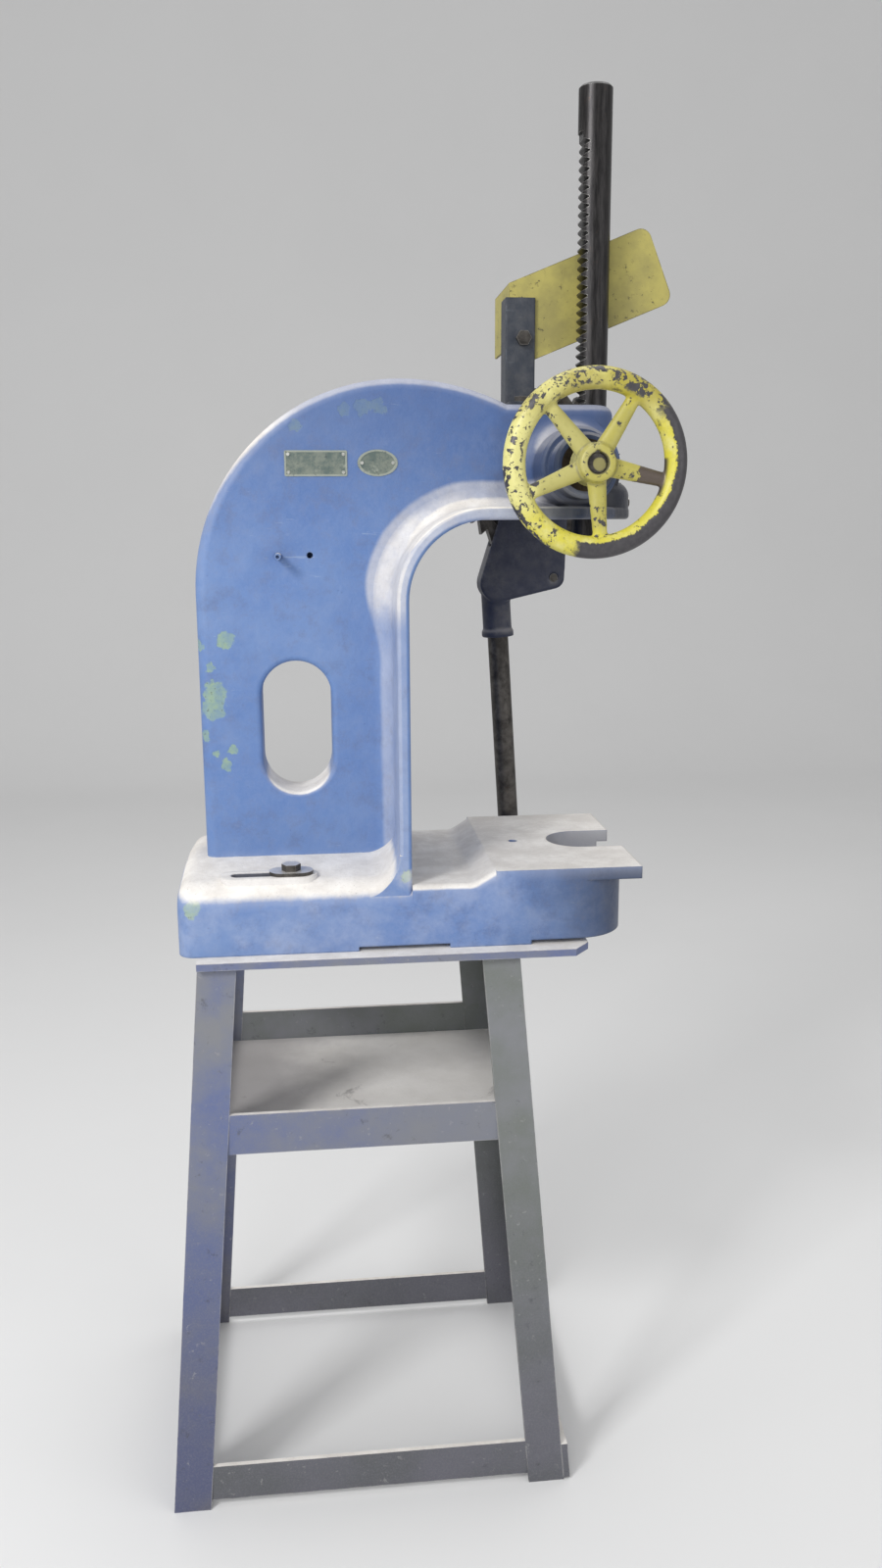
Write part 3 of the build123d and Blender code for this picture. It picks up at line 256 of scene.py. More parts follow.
castingLook = {
    "blue": (0.095, 0.185, 0.43),
    "faded": (0.155, 0.25, 0.48),
    "grimy": (0.055, 0.095, 0.235),
    "oily": (0.020, 0.023, 0.036),
    # Painted shade for the head of the arm
    "headShade": (0.038, 0.050, 0.088),
    "scuff": (0.40, 0.48, 0.60),
    "green": (0.275, 0.40, 0.225),
    "iron": (0.05, 0.045, 0.045),
    "machined": (0.30, 0.30, 0.32),
    # Mottling of the old enamel
    "clouds": {"noise": (5.0, 5.0, 0.6), "range": (0.3, 0.75)},
    "blotches": {"noise": (30.0, 7.0, 0.75), "range": (0.48, 0.68), "share": 0.42},
    "smears": {"noise": (3.2, 7.0, 0.7, 0.6), "stretch": (1.0, 1.0, 0.45), "range": (0.56, 0.78), "share": 0.45},
    "scuffs": {"noise": (16.0, 5.0, 0.75, 0.4), "stretch": (0.7, 1.0, 5.0), "range": (0.655, 0.70), "share": 0.32},
    "pits": {"noise": (140.0, 3.0, 0.75), "range": (0.69, 0.77), "share": 0.6},
    "grain": {"noise": (330.0, 3.0, 0.6), "range": (0.45, 0.75), "share": 0.26},
    "corner": {"radius": 0.004, "edge": (0.015, 0.12), "share": 0.5},
    "rubs": {"noise": (35.0, 6.0, 0.7), "range": (0.50, 0.62)},
    # Surface of the casting under the paint
    "waves": {"noise": (26.0, 4.0, 0.5), "strength": 0.25, "distance": 0.004},
    "peel": {"noise": (95.0, 4.0, 0.6), "strength": 0.30, "distance": 0.0022},
    "sand": {"strength": 0.22, "distance": 0.0010},
    "rough": {"paint": 0.50, "oil": 0.33},
    "specular": 0.35,
    # Dust on faces that look up, and a thin film on the rest
    "settled": (0.22, 0.62, 0.22),
    "film": {"lean": (-0.15, 0.5, 0.5), "share": 0.20},
}

# Green paint under the blue: (x, y, z, radius)
chipLook = {
    "places": [
        (-0.251, -0.038, 1.196, 0.013), (-0.2685, -0.038, 1.128, 0.0165), (-0.272, -0.038, 1.104, 0.0175),
        (-0.2735, -0.038, 1.162, 0.0065), (-0.287, -0.038, 1.069, 0.010), (-0.248, -0.038, 1.048, 0.0055),
        (-0.2567, -0.038, 1.028, 0.0085), (-0.270, -0.038, 1.045, 0.005), (-0.063, -0.038, 1.497, 0.012),
        (-0.089, -0.038, 1.494, 0.009), (-0.042, -0.038, 1.499, 0.010), (-0.153, -0.038, 1.4745, 0.009),
        (-0.303, -0.155, 0.860, 0.013), (-0.023, -0.152, 0.894, 0.009), (-0.285, -0.030, 1.19, 0.008),
    ],
    "core": 0.80,
    "ragged": 0.026,
    "grain": (75.0, 5.0, 0.65),
    "strength": {"noise": (60.0, 5.0, 0.7), "range": (0.3, 0.7)},
    "faintest": 0.35,
    "strongest": 0.85,
    "upper": {"high": (1.30, 1.42), "share": 0.55},
    "bare": {"noise": (210.0, 3.0), "range": (0.62, 0.70)},
    "bareShare": 0.6,
    "relief": {"strength": 0.4, "distance": 0.0008},
}

# Oil and dirt on the casting, with painted shade on the head, the upper part, under the arm and at the base's right
# end; wander is how far a limit strays
soilLook = {
    "wander": {"noise": (9.0, 6.0, 0.7), "depth": 0.10},
    "collar": {"at": (0.247, 0.0, 1.370), "reach": (0.080, 0.064), "wander": 0.25},
    "head": {"across": (0.095, 0.150), "high": (1.335, 1.365), "shadeShare": 0.62, "slick": 0.35},
    "upper": {"high": (1.28, 1.52), "share": 0.56},
    "boss": {"x": 0.211, "z": 1.419, "reach": (0.074, 0.06364), "deep": (0.046, 0.0575),
             "wander": 0.2, "slick": 0.72, "oil": 0.45},
    "nose": {"across": (0.135, 0.185), "under": (1.35, 1.3525), "over": (1.386, 1.372),
             "wander": 0.5, "slick": 0.9, "oil": 0.80},
    "toe": {"across": (0.08, 0.27), "oil": 0.78},
    "base": (0.915, 0.885),
}

# Dust that lies in places of its own, and what keeps it off; the band in the throat's hollow is dust and a painted
# highlight
hollowHighlightLook = {
    "bend": (0.088, 1.251),              # middle of the throat, X and Z
    "fillet": (0.137, 0.129),            # the dust's limit, measured from it
    "flare": {"high": (1.16, 1.28), "by": 0.020},
    "ragged": 0.09,
    "deck": (0.870, 0.905),
    "facing": (0.35, -0.25),
    "column": {"high": (1.212, 1.250), "wander": 0.35, "share": 0.38},
    "patchy": {"noise": (14.0, 5.0, 0.7), "range": (0.30, 0.60)},
    "thin": 0.55,
    "thick": 0.80,
}
powderLook = {
    "patches": {"noise": (11.0, 6.0, 0.7), "range": (0.32, 0.68)},
    "thin": 0.02,
    "thick": 0.17,
    "spill": {"high": (0.866, 0.894), "wander": 0.5, "across": (0.035, 0.065, 0.025), "top": (0.905, 0.899),
              "share": 0.45},
    "cleaned": 0.96,
    "crown": {"high": (1.44, 1.49), "across": (-0.22, -0.12), "share": 0.45},
}
fittingLook = {
    "notch": {"x": (0.190, 0.191), "half": 0.0458, "top": (0.8968, 0.8964), "share": 0.85},
    "pad": {"x": -0.203, "y": 0.118, "half": 0.069, "side": (0.0215, 0.0205), "deck": (0.858, 0.864), "dust": 0.92},
    "slot": {"half": 0.0503, "side": (0.0104, 0.0100), "top": (0.8925, 0.8915), "clean": 0.9, "dirt": 0.85},
}


def mottledBlue(tree, look):
    color = blendColor(tree, patches(tree, look["clouds"]), look["blue"], look["faded"])
    color = blendColor(tree, patches(tree, look["blotches"]), color, look["grimy"])
    color = blendColor(tree, patches(tree, look["smears"]), color, look["grimy"])
    color = blendColor(tree, patches(tree, look["scuffs"]), color, look["scuff"])
    return blendColor(tree, patches(tree, look["pits"]), color, look["grimy"])


def chipped(tree, look, chips, color):
    green = spots(tree, chips)
    faint = blendValue(tree, patches(tree, chips["strength"]), chips["faintest"], chips["strongest"])
    high = axisOf(tree, objectCoords(tree), 2)
    fading = blendValue(tree, step(tree, high, *chips["upper"]["high"]), 1.0, chips["upper"]["share"])
    color = blendColor(tree, times(tree, green, times(tree, faint, fading)), color, look["green"])
    bare = times(tree, green, patches(tree, chips["bare"]))
    color = blendColor(tree, times(tree, bare, chips["bareShare"]), color, look["iron"])
    return color, minus(tree, 1.0, green)


def soiled(tree, look, soil, place, color):
    # Returns the colour, how oily it is, how little dust it holds, and the masks of the toe and the base
    across, deep, high, wander = place
    collar, head, boss, nose = (soil[part] for part in ("collar", "head", "boss", "nose"))
    # Near-black oily colour round the ram's collar: oil, and painted shade under the arm
    away = plus(tree, distanceTo(tree, collar["at"]), times(tree, wander, collar["wander"]))
    oil = step(tree, away, *collar["reach"])
    slick = oil
    # Painted shade: the head, right of x 0.1 and above the flange, darkened towards a dark blue; its slick share
    # keeps dust off it
    onHead = times(tree, step(tree, plus(tree, across, wander), *head["across"]), step(tree, high, *head["high"]))
    color = blendColor(tree, times(tree, onHead, head["shadeShare"]), color, look["headShade"])
    # Painted shade: the casting darkened towards the top, where less light falls
    upper = step(tree, plus(tree, high, wander), *soil["upper"]["high"])
    color = blendColor(tree, times(tree, upper, soil["upper"]["share"]), color, look["grimy"])
    fromShaft = apart(tree, minus(tree, across, boss["x"]), minus(tree, high, boss["z"]))
    fromShaft = plus(tree, fromShaft, times(tree, wander, boss["wander"]))
    greased = times(tree, step(tree, fromShaft, *boss["reach"]), step(tree, unsigned(tree, deep), *boss["deep"]))
    slick = most(tree, slick, times(tree, greased, boss["slick"]), times(tree, onHead, head["slick"]))
    oil = most(tree, oil, times(tree, greased, boss["oil"]))
    # Flange nose below the head: oil, and painted shade under the arm
    onNose = step(tree, plus(tree, across, times(tree, wander, nose["wander"])), *nose["across"])
    onNose = times(tree, onNose, step(tree, high, *nose["under"]), step(tree, high, *nose["over"]))
    slick = most(tree, slick, times(tree, onNose, nose["slick"]))
    oil = most(tree, oil, times(tree, onNose, nose["oil"]))
    # The right end of the base, darkened with the oily colour: dirt, and painted shade on the rounded front corner
    toe = step(tree, plus(tree, across, wander), *soil["toe"]["across"])
    onBase = step(tree, high, *soil["base"])
    oil = most(tree, oil, times(tree, toe, onBase, soil["toe"]["oil"]))
    return blendColor(tree, oil, color, look["oily"]), oil, slick, toe, onBase


def throatDistance(tree, bend, place):
    # Distance from the middle of the throat: the same up the column, round the bend and along the arm
    back = most(tree, minus(tree, bend[0], place[0]), 0.0)
    rise = most(tree, minus(tree, place[2], bend[1]), 0.0)
    return apart(tree, back, rise)


def hollowDustAndHighlight(tree, look, place):
    # Pale band along the hollow between the web and the throat flange: dust, and a painted highlight on the fillet
    # faces turned to the light from the left
    _, _, high, wander = place
    flare = times(tree, step(tree, high, *look["flare"]["high"]), look["flare"]["by"])
    reached = plus(tree, throatDistance(tree, look["bend"], place), times(tree, wander, look["ragged"]))
    hollow = step(tree, minus(tree, reached, flare), *look["fillet"])
    hollow = times(tree, hollow, step(tree, high, *look["deck"]))
    # Only faces turned towards -X, the side the light comes from, get the band: painted highlight
    hollow = times(tree, hollow, step(tree, axisOf(tree, surfaceNormal(tree), 0), *look["facing"]))
    column = plus(tree, high, times(tree, wander, look["column"]["wander"]))
    column = step(tree, column, *look["column"]["high"])
    hollow = times(tree, hollow, blendValue(tree, column, look["column"]["share"], 1.0))
    return times(tree, hollow, blendValue(tree, patches(tree, look["patchy"]), look["thin"], look["thick"]))


def baseDust(tree, look, place, toe, onBase):
    # Thin patchy dust on the sides of the base, and a spill below the foot of the flange
    across, _, high, wander = place
    powder = blendValue(tree, patches(tree, look["patches"]), look["thin"], look["thick"])
    powder = times(tree, powder, times(tree, onBase, minus(tree, 1.0, toe)))
    spill = look["spill"]
    spilt = step(tree, plus(tree, high, times(tree, wander, spill["wander"])), *spill["high"])
    spilt = times(tree, spilt, within(tree, plus(tree, across, wander), *spill["across"]))
    spilt = times(tree, spilt, step(tree, high, *spill["top"]), spill["share"])
    return most(tree, powder, spilt)


def keptClean(tree, look, place, slick):
    # Oil holds no dust, and the crown of the arm holds less
    across, _, high, _ = place
    clean = minus(tree, 1.0, times(tree, slick, look["cleaned"]))
    crown = look["crown"]
    onCrown = times(tree, step(tree, high, *crown["high"]), step(tree, across, *crown["across"]))
    return times(tree, clean, blendValue(tree, onCrown, 1.0, crown["share"]))


def fitted(tree, look, fitting, place, color, settled):
    # Bare walls of the table's notch, dust banked on the foot pads, dirt inside their slots
    across, deep, high, _ = place
    notch, pad, slot = (fitting[part] for part in ("notch", "pad", "slot"))
    walls = times(tree, step(tree, across, *notch["x"]), within(tree, deep, 0.0, notch["half"]))
    walls = times(tree, walls, step(tree, high, *notch["top"]))
    color = blendColor(tree, times(tree, walls, notch["share"]), color, look["machined"])
    fromPad = unsigned(tree, minus(tree, unsigned(tree, deep), pad["y"]))
    onPad = times(tree, within(tree, across, pad["x"], pad["half"]), step(tree, fromPad, *pad["side"]))
    onPad = times(tree, onPad, step(tree, high, *pad["deck"]))
    settled = most(tree, settled, times(tree, onPad, pad["dust"]))
    inSlot = times(tree, within(tree, across, pad["x"], slot["half"]), step(tree, fromPad, *slot["side"]))
    inSlot = times(tree, inSlot, step(tree, high, *slot["top"]))
    settled = times(tree, settled, minus(tree, 1.0, times(tree, inSlot, slot["clean"])))
    return blendColor(tree, times(tree, inSlot, slot["dirt"]), color, look["iron"]), settled


def castingPaint(name, look, placed=False):
    mat, tree, shader = newMaterial(name)
    color = mottledBlue(tree, look)
    grain = noise(tree, *look["grain"]["noise"])
    grainy = times(tree, step(tree, grain, *look["grain"]["range"]), look["grain"]["share"])
    color = blendColor(tree, grainy, color, look["faded"])
    rounded = softNormal(tree, look["corner"]["radius"])
    rubbed = times(tree, nearEdge(tree, rounded, *look["corner"]["edge"]), patches(tree, look["rubs"]))
    color = blendColor(tree, times(tree, rubbed, look["corner"]["share"]), color, look["scuff"])
    oil = 0.0
    settled = upwards(tree, *look["settled"])
    film = times(tree, upwards(tree, *look["film"]["lean"]), look["film"]["share"])
    if placed:
        color, relief = chipped(tree, look, chipLook, color)
        place = placeFrom(tree) + [uneven(tree, soilLook["wander"]["noise"], soilLook["wander"]["depth"])]
        color, oil, slick, toe, onBase = soiled(tree, look, soilLook, place, color)
        # Dust and a painted highlight in the hollow of the throat
        film = most(tree, film, hollowDustAndHighlight(tree, hollowHighlightLook, place))
        film = most(tree, film, baseDust(tree, powderLook, place, toe, onBase))
        clean = keptClean(tree, powderLook, place, slick)
        settled = times(tree, settled, clean)
        film = times(tree, film, clean)
        color, settled = fitted(tree, look, fittingLook, place, color, settled)
    plug(tree, shader.inputs["Base Color"], dusted(tree, most(tree, settled, film), color))
    rough = blendValue(tree, oil, look["rough"]["paint"], look["rough"]["oil"])
    plug(tree, shader.inputs["Roughness"], blendValue(tree, settled, rough, dustLook["roughness"]))
    shader.inputs["Specular IOR Level"].default_value = look["specular"]
    shaped = roughCast(tree, look["peel"], roughCast(tree, look["waves"], rounded))
    shaped = bump(tree, grain, look["sand"]["strength"], look["sand"]["distance"], shaped)
    if placed:
        shaped = bump(tree, relief, chipLook["relief"]["strength"], chipLook["relief"]["distance"], shaped)
    plug(tree, shader.inputs["Normal"], shaped)
    return mat


print("materials: casting")
castingMat = castingPaint("castingBlue", castingLook, placed=True)
postLook = {
    **castingLook,
    "blue": (0.014, 0.019, 0.032),
    "faded": (0.032, 0.040, 0.056),
    "grimy": (0.012, 0.014, 0.020),
    "scuff": (0.15, 0.17, 0.20),
    "settled": (0.6, 0.95, 0.22),
}
postMat = castingPaint("postBlue", postLook)
# Painted shade: the lever head's dark blue taken almost to black, for the shade it sits in under the arm
leverShadedLook = {
    **postLook,
    "blue": (0.016, 0.020, 0.042),
    "faded": (0.028, 0.034, 0.062),
    "grimy": (0.008, 0.009, 0.016),
    "settled": (0.85, 1.1, 0.22),
}
leverShadedMat = castingPaint("leverShadedBlue", leverShadedLook)

# Distances on the wheel are measured from its middle
wheelLook = {
    "yellow": (0.61, 0.55, 0.060),
    "pale": (0.69, 0.65, 0.25),
    "dull": (0.36, 0.325, 0.095),
    "gold": (0.32, 0.262, 0.034),
    "iron": (0.050, 0.048, 0.055),
    "polished": (0.11, 0.105, 0.11),
    "brown": (0.135, 0.105, 0.085),
    "centre": (0.211, -0.195, 1.419),
    "ragged": {"noise": (170.0, 6.0, 0.7), "depth": 0.012},
    # Outer tread, from upper right round to the bottom, dark bare metal: worn paint, and painted shade on the side
    # of the rim turned from the light
    "treadWearAndShade": {"slant": 0.62, "low": (0.02, -0.07), "wider": 0.0035, "away": (0.0980, 0.0992),
              "ragged": 18.0, "side": (0.30, 0.42)},
    # Chipped flakes on the rest of the rim
    "flakes": {"noise": (95.0, 7.0, 0.66, 0.3), "range": (0.550, 0.566)},
    "scabs": {"noise": (42.0, 6.0, 0.62, 0.4), "range": (0.545, 0.560)},
    "rim": (0.090, 0.095),
    "leftward": (0.35, 0.05),
    "topward": (0.045, 0.070),
    # One spoke is bare at its outer half
    "spoke": {"bite": (60.0, 4.0, 0.6), "depth": 0.045, "from": (0.052, 0.0535), "to": (0.090, 0.086),
              "across": (0.040, 0.043), "below": (0.008, 0.004), "above": (-0.040, -0.036), "brown": 0.8},
    "chips": {"noise": (85.0, 6.0, 0.75), "range": (0.625, 0.64)},
    "nicks": {"noise": (52.0, 6.0, 0.7, 0.3), "range": (0.585, 0.60)},
    "nicksWithin": (0.092, 0.086),
    "tint": {"noise": (30.0, 5.0, 0.6), "range": (0.45, 0.75)},
    # Left side of the wheel paler: painted sheen
    "sheenLeft": (-0.2, -0.75),
    "gilt": {"high": (0.035, 0.085), "noise": (24.0, 4.0, 0.6), "range": (0.25, 0.60)},
    "giltShare": 0.72,
    "inside": {"away": (0.088, 0.070), "share": 0.72},
    "grime": {"noise": (160.0, 6.0, 0.7), "range": (0.50, 0.72), "share": 0.45},
    "bore": {"away": (0.0150, 0.0130), "noise": (130.0, 5.0, 0.7), "range": (0.25, 0.5)},
    "ring": {"at": 0.0255, "half": 0.0012, "noise": (50.0, 4.0, 0.6), "range": (0.35, 0.55)},
    "ringShare": 0.55,
    "dirt": 0.8,
    "metal": {"noise": (190.0, 4.0), "share": 0.55},
    "rough": (0.42, 0.45),
    "relief": {"strength": 0.6, "distance": 0.0007},
    "skin": {"noise": (300.0, 3.0), "strength": 0.15, "distance": 0.0008},
}


def wornSpoke(tree, look, across, high, away):
    bitten = plus(tree, away, uneven(tree, look["bite"], look["depth"]))
    bare = times(tree, step(tree, bitten, *look["from"]), step(tree, away, *look["to"]))
    bare = times(tree, bare, step(tree, across, *look["across"]))
    return times(tree, bare, step(tree, high, *look["below"]), step(tree, high, *look["above"]))


def wheelPaint(name, look):
    mat, tree, shader = newMaterial(name)
    across, _, high = placeFrom(tree, look["centre"])
    away = apart(tree, across, high)
    ragged = uneven(tree, look["ragged"]["noise"], look["ragged"]["depth"])
    roughly = plus(tree, away, ragged)
    # Dark bare tread on the rim's right side: wear, and painted shade
    treadWearAndShade = look["treadWearAndShade"]
    toRight = calc(tree, "DIVIDE", minus(tree, across, times(tree, high, treadWearAndShade["slant"])), away)
    lower = times(tree, step(tree, high, *treadWearAndShade["low"]), treadWearAndShade["wider"])
    worn = step(tree, plus(tree, roughly, lower), *treadWearAndShade["away"])
    bareSide = plus(tree, toRight, times(tree, ragged, treadWearAndShade["ragged"]))
    worn = times(tree, worn, step(tree, bareSide, *treadWearAndShade["side"]))
    leftward = most(tree, step(tree, toRight, *look["leftward"]), step(tree, high, *look["topward"]))
    flakes = most(tree, patches(tree, look["flakes"]), patches(tree, look["scabs"]))
    flakes = times(tree, flakes, times(tree, step(tree, roughly, *look["rim"]), leftward))
    spoke = wornSpoke(tree, look["spoke"], across, high, away)
    nicks = times(tree, patches(tree, look["nicks"]), step(tree, away, *look["nicksWithin"]))
    worn = most(tree, worn, flakes, spoke, most(tree, patches(tree, look["chips"]), nicks))
    # Random tint, and the left side of the wheel paler: painted sheen
    tint = most(tree, patches(tree, look["tint"]), step(tree, toRight, *look["sheenLeft"]))
    color = blendColor(tree, tint, look["yellow"], look["pale"])
    gilt = times(tree, step(tree, high, *look["gilt"]["high"]), patches(tree, look["gilt"]))
    color = blendColor(tree, times(tree, gilt, look["giltShare"]), color, look["gold"])
    inside = step(tree, roughly, *look["inside"]["away"])
    color = blendColor(tree, times(tree, inside, look["inside"]["share"]), color, look["dull"])
    color = blendColor(tree, patches(tree, look["grime"]), color, look["dull"])
    bore = times(tree, step(tree, away, *look["bore"]["away"]), patches(tree, look["bore"]))
    ring = within(tree, away, look["ring"]["at"], look["ring"]["half"], look["ring"]["half"])
    ring = times(tree, ring, patches(tree, look["ring"]), look["ringShare"])
    color = blendColor(tree, times(tree, most(tree, bore, ring), look["dirt"]), color, look["iron"])
    metal = blendColor(tree, noise(tree, *look["metal"]["noise"]), look["iron"], look["polished"])
    metal = blendColor(tree, times(tree, spoke, look["spoke"]["brown"]), metal, look["brown"])
    plug(tree, shader.inputs["Base Color"], blendColor(tree, worn, color, metal))
    plug(tree, shader.inputs["Metallic"], times(tree, worn, look["metal"]["share"]))
    plug(tree, shader.inputs["Roughness"], blendValue(tree, worn, *look["rough"]))
    layered = bump(tree, minus(tree, 1.0, worn), look["relief"]["strength"], look["relief"]["distance"])
    plug(tree, shader.inputs["Normal"], roughCast(tree, look["skin"], layered))
    return mat


print("materials: handwheel")
wheelMat = wheelPaint("wheelYellow", wheelLook)

guardLook = {
    "yellow": (0.44, 0.385, 0.105),
    "dull": (0.30, 0.265, 0.085),
    "speck": (0.045, 0.038, 0.025),
    "fading": {"noise": (16.0, 5.0, 0.65), "range": (0.35, 0.7)},
    "specks": {"noise": (110.0, 6.0, 0.8), "range": (0.585, 0.64), "share": 0.85},
    "corner": {"radius": 0.0025, "edge": (0.02, 0.15)},
    "rubs": {"noise": (60.0, 5.0, 0.7), "range": (0.38, 0.50)},
    "settled": (0.5, 0.9, 0.2),
    "roughness": 0.55,
    "dents": {"noise": (40.0, 5.0), "strength": 0.3, "distance": 0.002},
}


def guardPaint(name, look):
    mat, tree, shader = newMaterial(name)
    color = blendColor(tree, patches(tree, look["fading"]), look["yellow"], look["dull"])
    color = blendColor(tree, patches(tree, look["specks"]), color, look["speck"])
    rounded = softNormal(tree, look["corner"]["radius"])
    edges = times(tree, nearEdge(tree, rounded, *look["corner"]["edge"]), patches(tree, look["rubs"]))
    color = blendColor(tree, edges, color, look["speck"])
    color = dusted(tree, upwards(tree, *look["settled"]), color)
    plug(tree, shader.inputs["Base Color"], color)
    shader.inputs["Roughness"].default_value = look["roughness"]
    plug(tree, shader.inputs["Normal"], roughCast(tree, look["dents"]))
    return mat


print("materials: guard")
guardMat = guardPaint("guardYellow", guardLook)

steelLook = {
    "rust": (0.11, 0.06, 0.035),
    "worn": (0.42, 0.41, 0.39),
    "streaks": (45.0, 6.0, 0.7, 0.3),
    "cut": (0.3, 0.75),
    "rusty": {"noise": (70.0, 6.0, 0.75), "range": (0.60, 0.75), "share": 0.4},
    "corner": {"radius": 0.0015, "edge": (0.02, 0.2), "share": 0.55},
    "settled": (0.45, 0.85, 0.2),
    "skin": {"noise": (500.0, 3.0), "strength": 0.12, "distance": 0.0005},
}
ramLook = {
    **steelLook,
    "dark": (0.012, 0.011, 0.012),
    "light": (0.050, 0.047, 0.047),
    "rough": (0.24, 0.46),
    "metal": 0.7,
    "stretch": (6.0, 6.0, 0.6),
}
oilyLook = {
    **steelLook,
    "dark": (0.03, 0.027, 0.025),
    "light": (0.13, 0.12, 0.11),
    "rough": (0.35, 0.6),
    "metal": 0.7,
    "stretch": (1.0, 1.0, 1.0),
}
brightLook = {
    **steelLook,
    "dark": (0.16, 0.15, 0.14),
    "light": (0.40, 0.385, 0.36),
    "rough": (0.25, 0.45),
    "metal": 0.95,
    "stretch": (1.0, 1.0, 0.25),
}


def steel(name, look, dusty=False):
    mat, tree, shader = newMaterial(name)
    streaks = noise(tree, *look["streaks"], vector=stretched(tree, look["stretch"]))
    color = blendColor(tree, step(tree, streaks, *look["cut"]), look["dark"], look["light"])
    color = blendColor(tree, patches(tree, look["rusty"]), color, look["rust"])
    rubbed = nearEdge(tree, softNormal(tree, look["corner"]["radius"]), *look["corner"]["edge"])
    color = blendColor(tree, times(tree, rubbed, look["corner"]["share"]), color, look["worn"])
    if dusty:
        color = dusted(tree, upwards(tree, *look["settled"]), color)
    plug(tree, shader.inputs["Base Color"], color)
    shader.inputs["Metallic"].default_value = look["metal"]
    plug(tree, shader.inputs["Roughness"], blendValue(tree, streaks, *look["rough"]))
    plug(tree, shader.inputs["Normal"], roughCast(tree, look["skin"]))
    return mat


shaftLook = {
    "dark": (0.03, 0.027, 0.025),
    "light": (0.13, 0.12, 0.11),
    "yellow": (0.30, 0.27, 0.095),
    "streaks": (60.0, 6.0, 0.7),
    "cut": (0.3, 0.75),
    "places": [(0.2135, -0.206, 1.4178, 0.0088)],        # one smear: (x, y, z, radius)
    "core": 0.80,
    "ragged": 0.004,
    "grain": (180.0, 5.0, 0.65),
    "nearEnd": (-0.203, -0.205),
    "share": 0.85,
    "metal": 0.6,
    "rough": (0.35, 0.6),
    "skin": {"noise": (400.0, 3.0), "strength": 0.15, "distance": 0.0005},
}


def shaftSteel(name, look):
    # Oily steel, its near end smeared with the wheel's paint
    mat, tree, shader = newMaterial(name)
    streaks = noise(tree, *look["streaks"])
    color = blendColor(tree, step(tree, streaks, *look["cut"]), look["dark"], look["light"])
    smear = times(tree, spots(tree, look), step(tree, axisOf(tree, objectCoords(tree), 1), *look["nearEnd"]))
    color = blendColor(tree, times(tree, smear, look["share"]), color, look["yellow"])
    plug(tree, shader.inputs["Base Color"], color)
    plug(tree, shader.inputs["Metallic"], blendValue(tree, smear, look["metal"], 0.0))
    plug(tree, shader.inputs["Roughness"], blendValue(tree, streaks, *look["rough"]))
    plug(tree, shader.inputs["Normal"], roughCast(tree, look["skin"]))
    return mat


print("materials: steel")
ramMat = steel("oilyRam", ramLook)
darkSteelMat = steel("darkSteel", oilyLook, dusty=True)
ratchetMat = steel("ratchetSteel", oilyLook)
brightSteelMat = steel("brightSteel", brightLook)
shaftMat = shaftSteel("shaftEnd", shaftLook)

standLook = {
    "violet": (0.115, 0.145, 0.285),
    "green": (0.150, 0.165, 0.145),
    "grey": (0.205, 0.21, 0.225),
    "dark": (0.05, 0.05, 0.055),
    "shade": (0.060, 0.055, 0.085),
    "fleck": (0.34, 0.335, 0.33),
    "worn": (0.38, 0.37, 0.36),
    "clouds": {"noise": (4.0, 5.0, 0.65), "range": (0.35, 0.65)},
    "wander": {"noise": (7.0, 5.0, 0.6), "depth": 0.22},
    "frontward": {"across": (-0.17, 0.02), "share": 0.75},   # violet turns grey towards the front
    "lower": {"high": (0.62, 0.0), "share": 0.58},
    "scale": {"noise": (48.0, 7.0, 0.75), "range": (0.585, 0.70), "share": 0.55},
    "flecks": {"noise": (85.0, 6.0, 0.75, 0.2), "range": (0.625, 0.66), "share": 0.45},
    "fine": {"noise": (420.0, 3.0, 0.6), "range": (0.4, 0.7), "share": 0.25},
    "corner": {"radius": 0.0025, "edge": (0.02, 0.15), "share": 0.7},
    "rubs": {"noise": (45.0, 5.0, 0.7), "range": (0.38, 0.55)},
    "settled": (0.45, 0.85, 0.25),
    "roughness": 0.55,
    "specular": 0.35,
    "skin": {"noise": (120.0, 5.0), "strength": 0.25, "distance": 0.0012},
}


def standPaint(name, look, first, second):
    mat, tree, shader = newMaterial(name)
    across, _, high = placeFrom(tree)
    color = blendColor(tree, patches(tree, look["clouds"]), look[first], look[second])
    if first == "violet":
        wander = uneven(tree, look["wander"]["noise"], look["wander"]["depth"])
        frontward = step(tree, plus(tree, across, wander), *look["frontward"]["across"])
        color = blendColor(tree, times(tree, frontward, look["frontward"]["share"]), color, look["grey"])
    lower = step(tree, high, *look["lower"]["high"])
    color = blendColor(tree, times(tree, lower, look["lower"]["share"]), color, look["shade"])
    color = blendColor(tree, patches(tree, look["scale"]), color, look["dark"])
    color = blendColor(tree, patches(tree, look["flecks"]), color, look["fleck"])
    color = blendColor(tree, patches(tree, look["fine"]), color, look["grey"])
    rounded = softNormal(tree, look["corner"]["radius"])
    edges = times(tree, nearEdge(tree, rounded, *look["corner"]["edge"]), patches(tree, look["rubs"]))
    color = blendColor(tree, times(tree, edges, look["corner"]["share"]), color, look["worn"])
    dust = upwards(tree, *look["settled"])
    plug(tree, shader.inputs["Base Color"], dusted(tree, dust, color))
    plug(tree, shader.inputs["Roughness"], blendValue(tree, dust, look["roughness"], dustLook["roughness"]))
    shader.inputs["Specular IOR Level"].default_value = look["specular"]
    plug(tree, shader.inputs["Normal"], roughCast(tree, look["skin"]))
    return mat


print("materials: stand")
violetMat = standPaint("standViolet", standLook, "violet", "grey")
greenMat = standPaint("standGreen", standLook, "green", "grey")
plateMat = standPaint("standPlate", standLook, "grey", "violet")

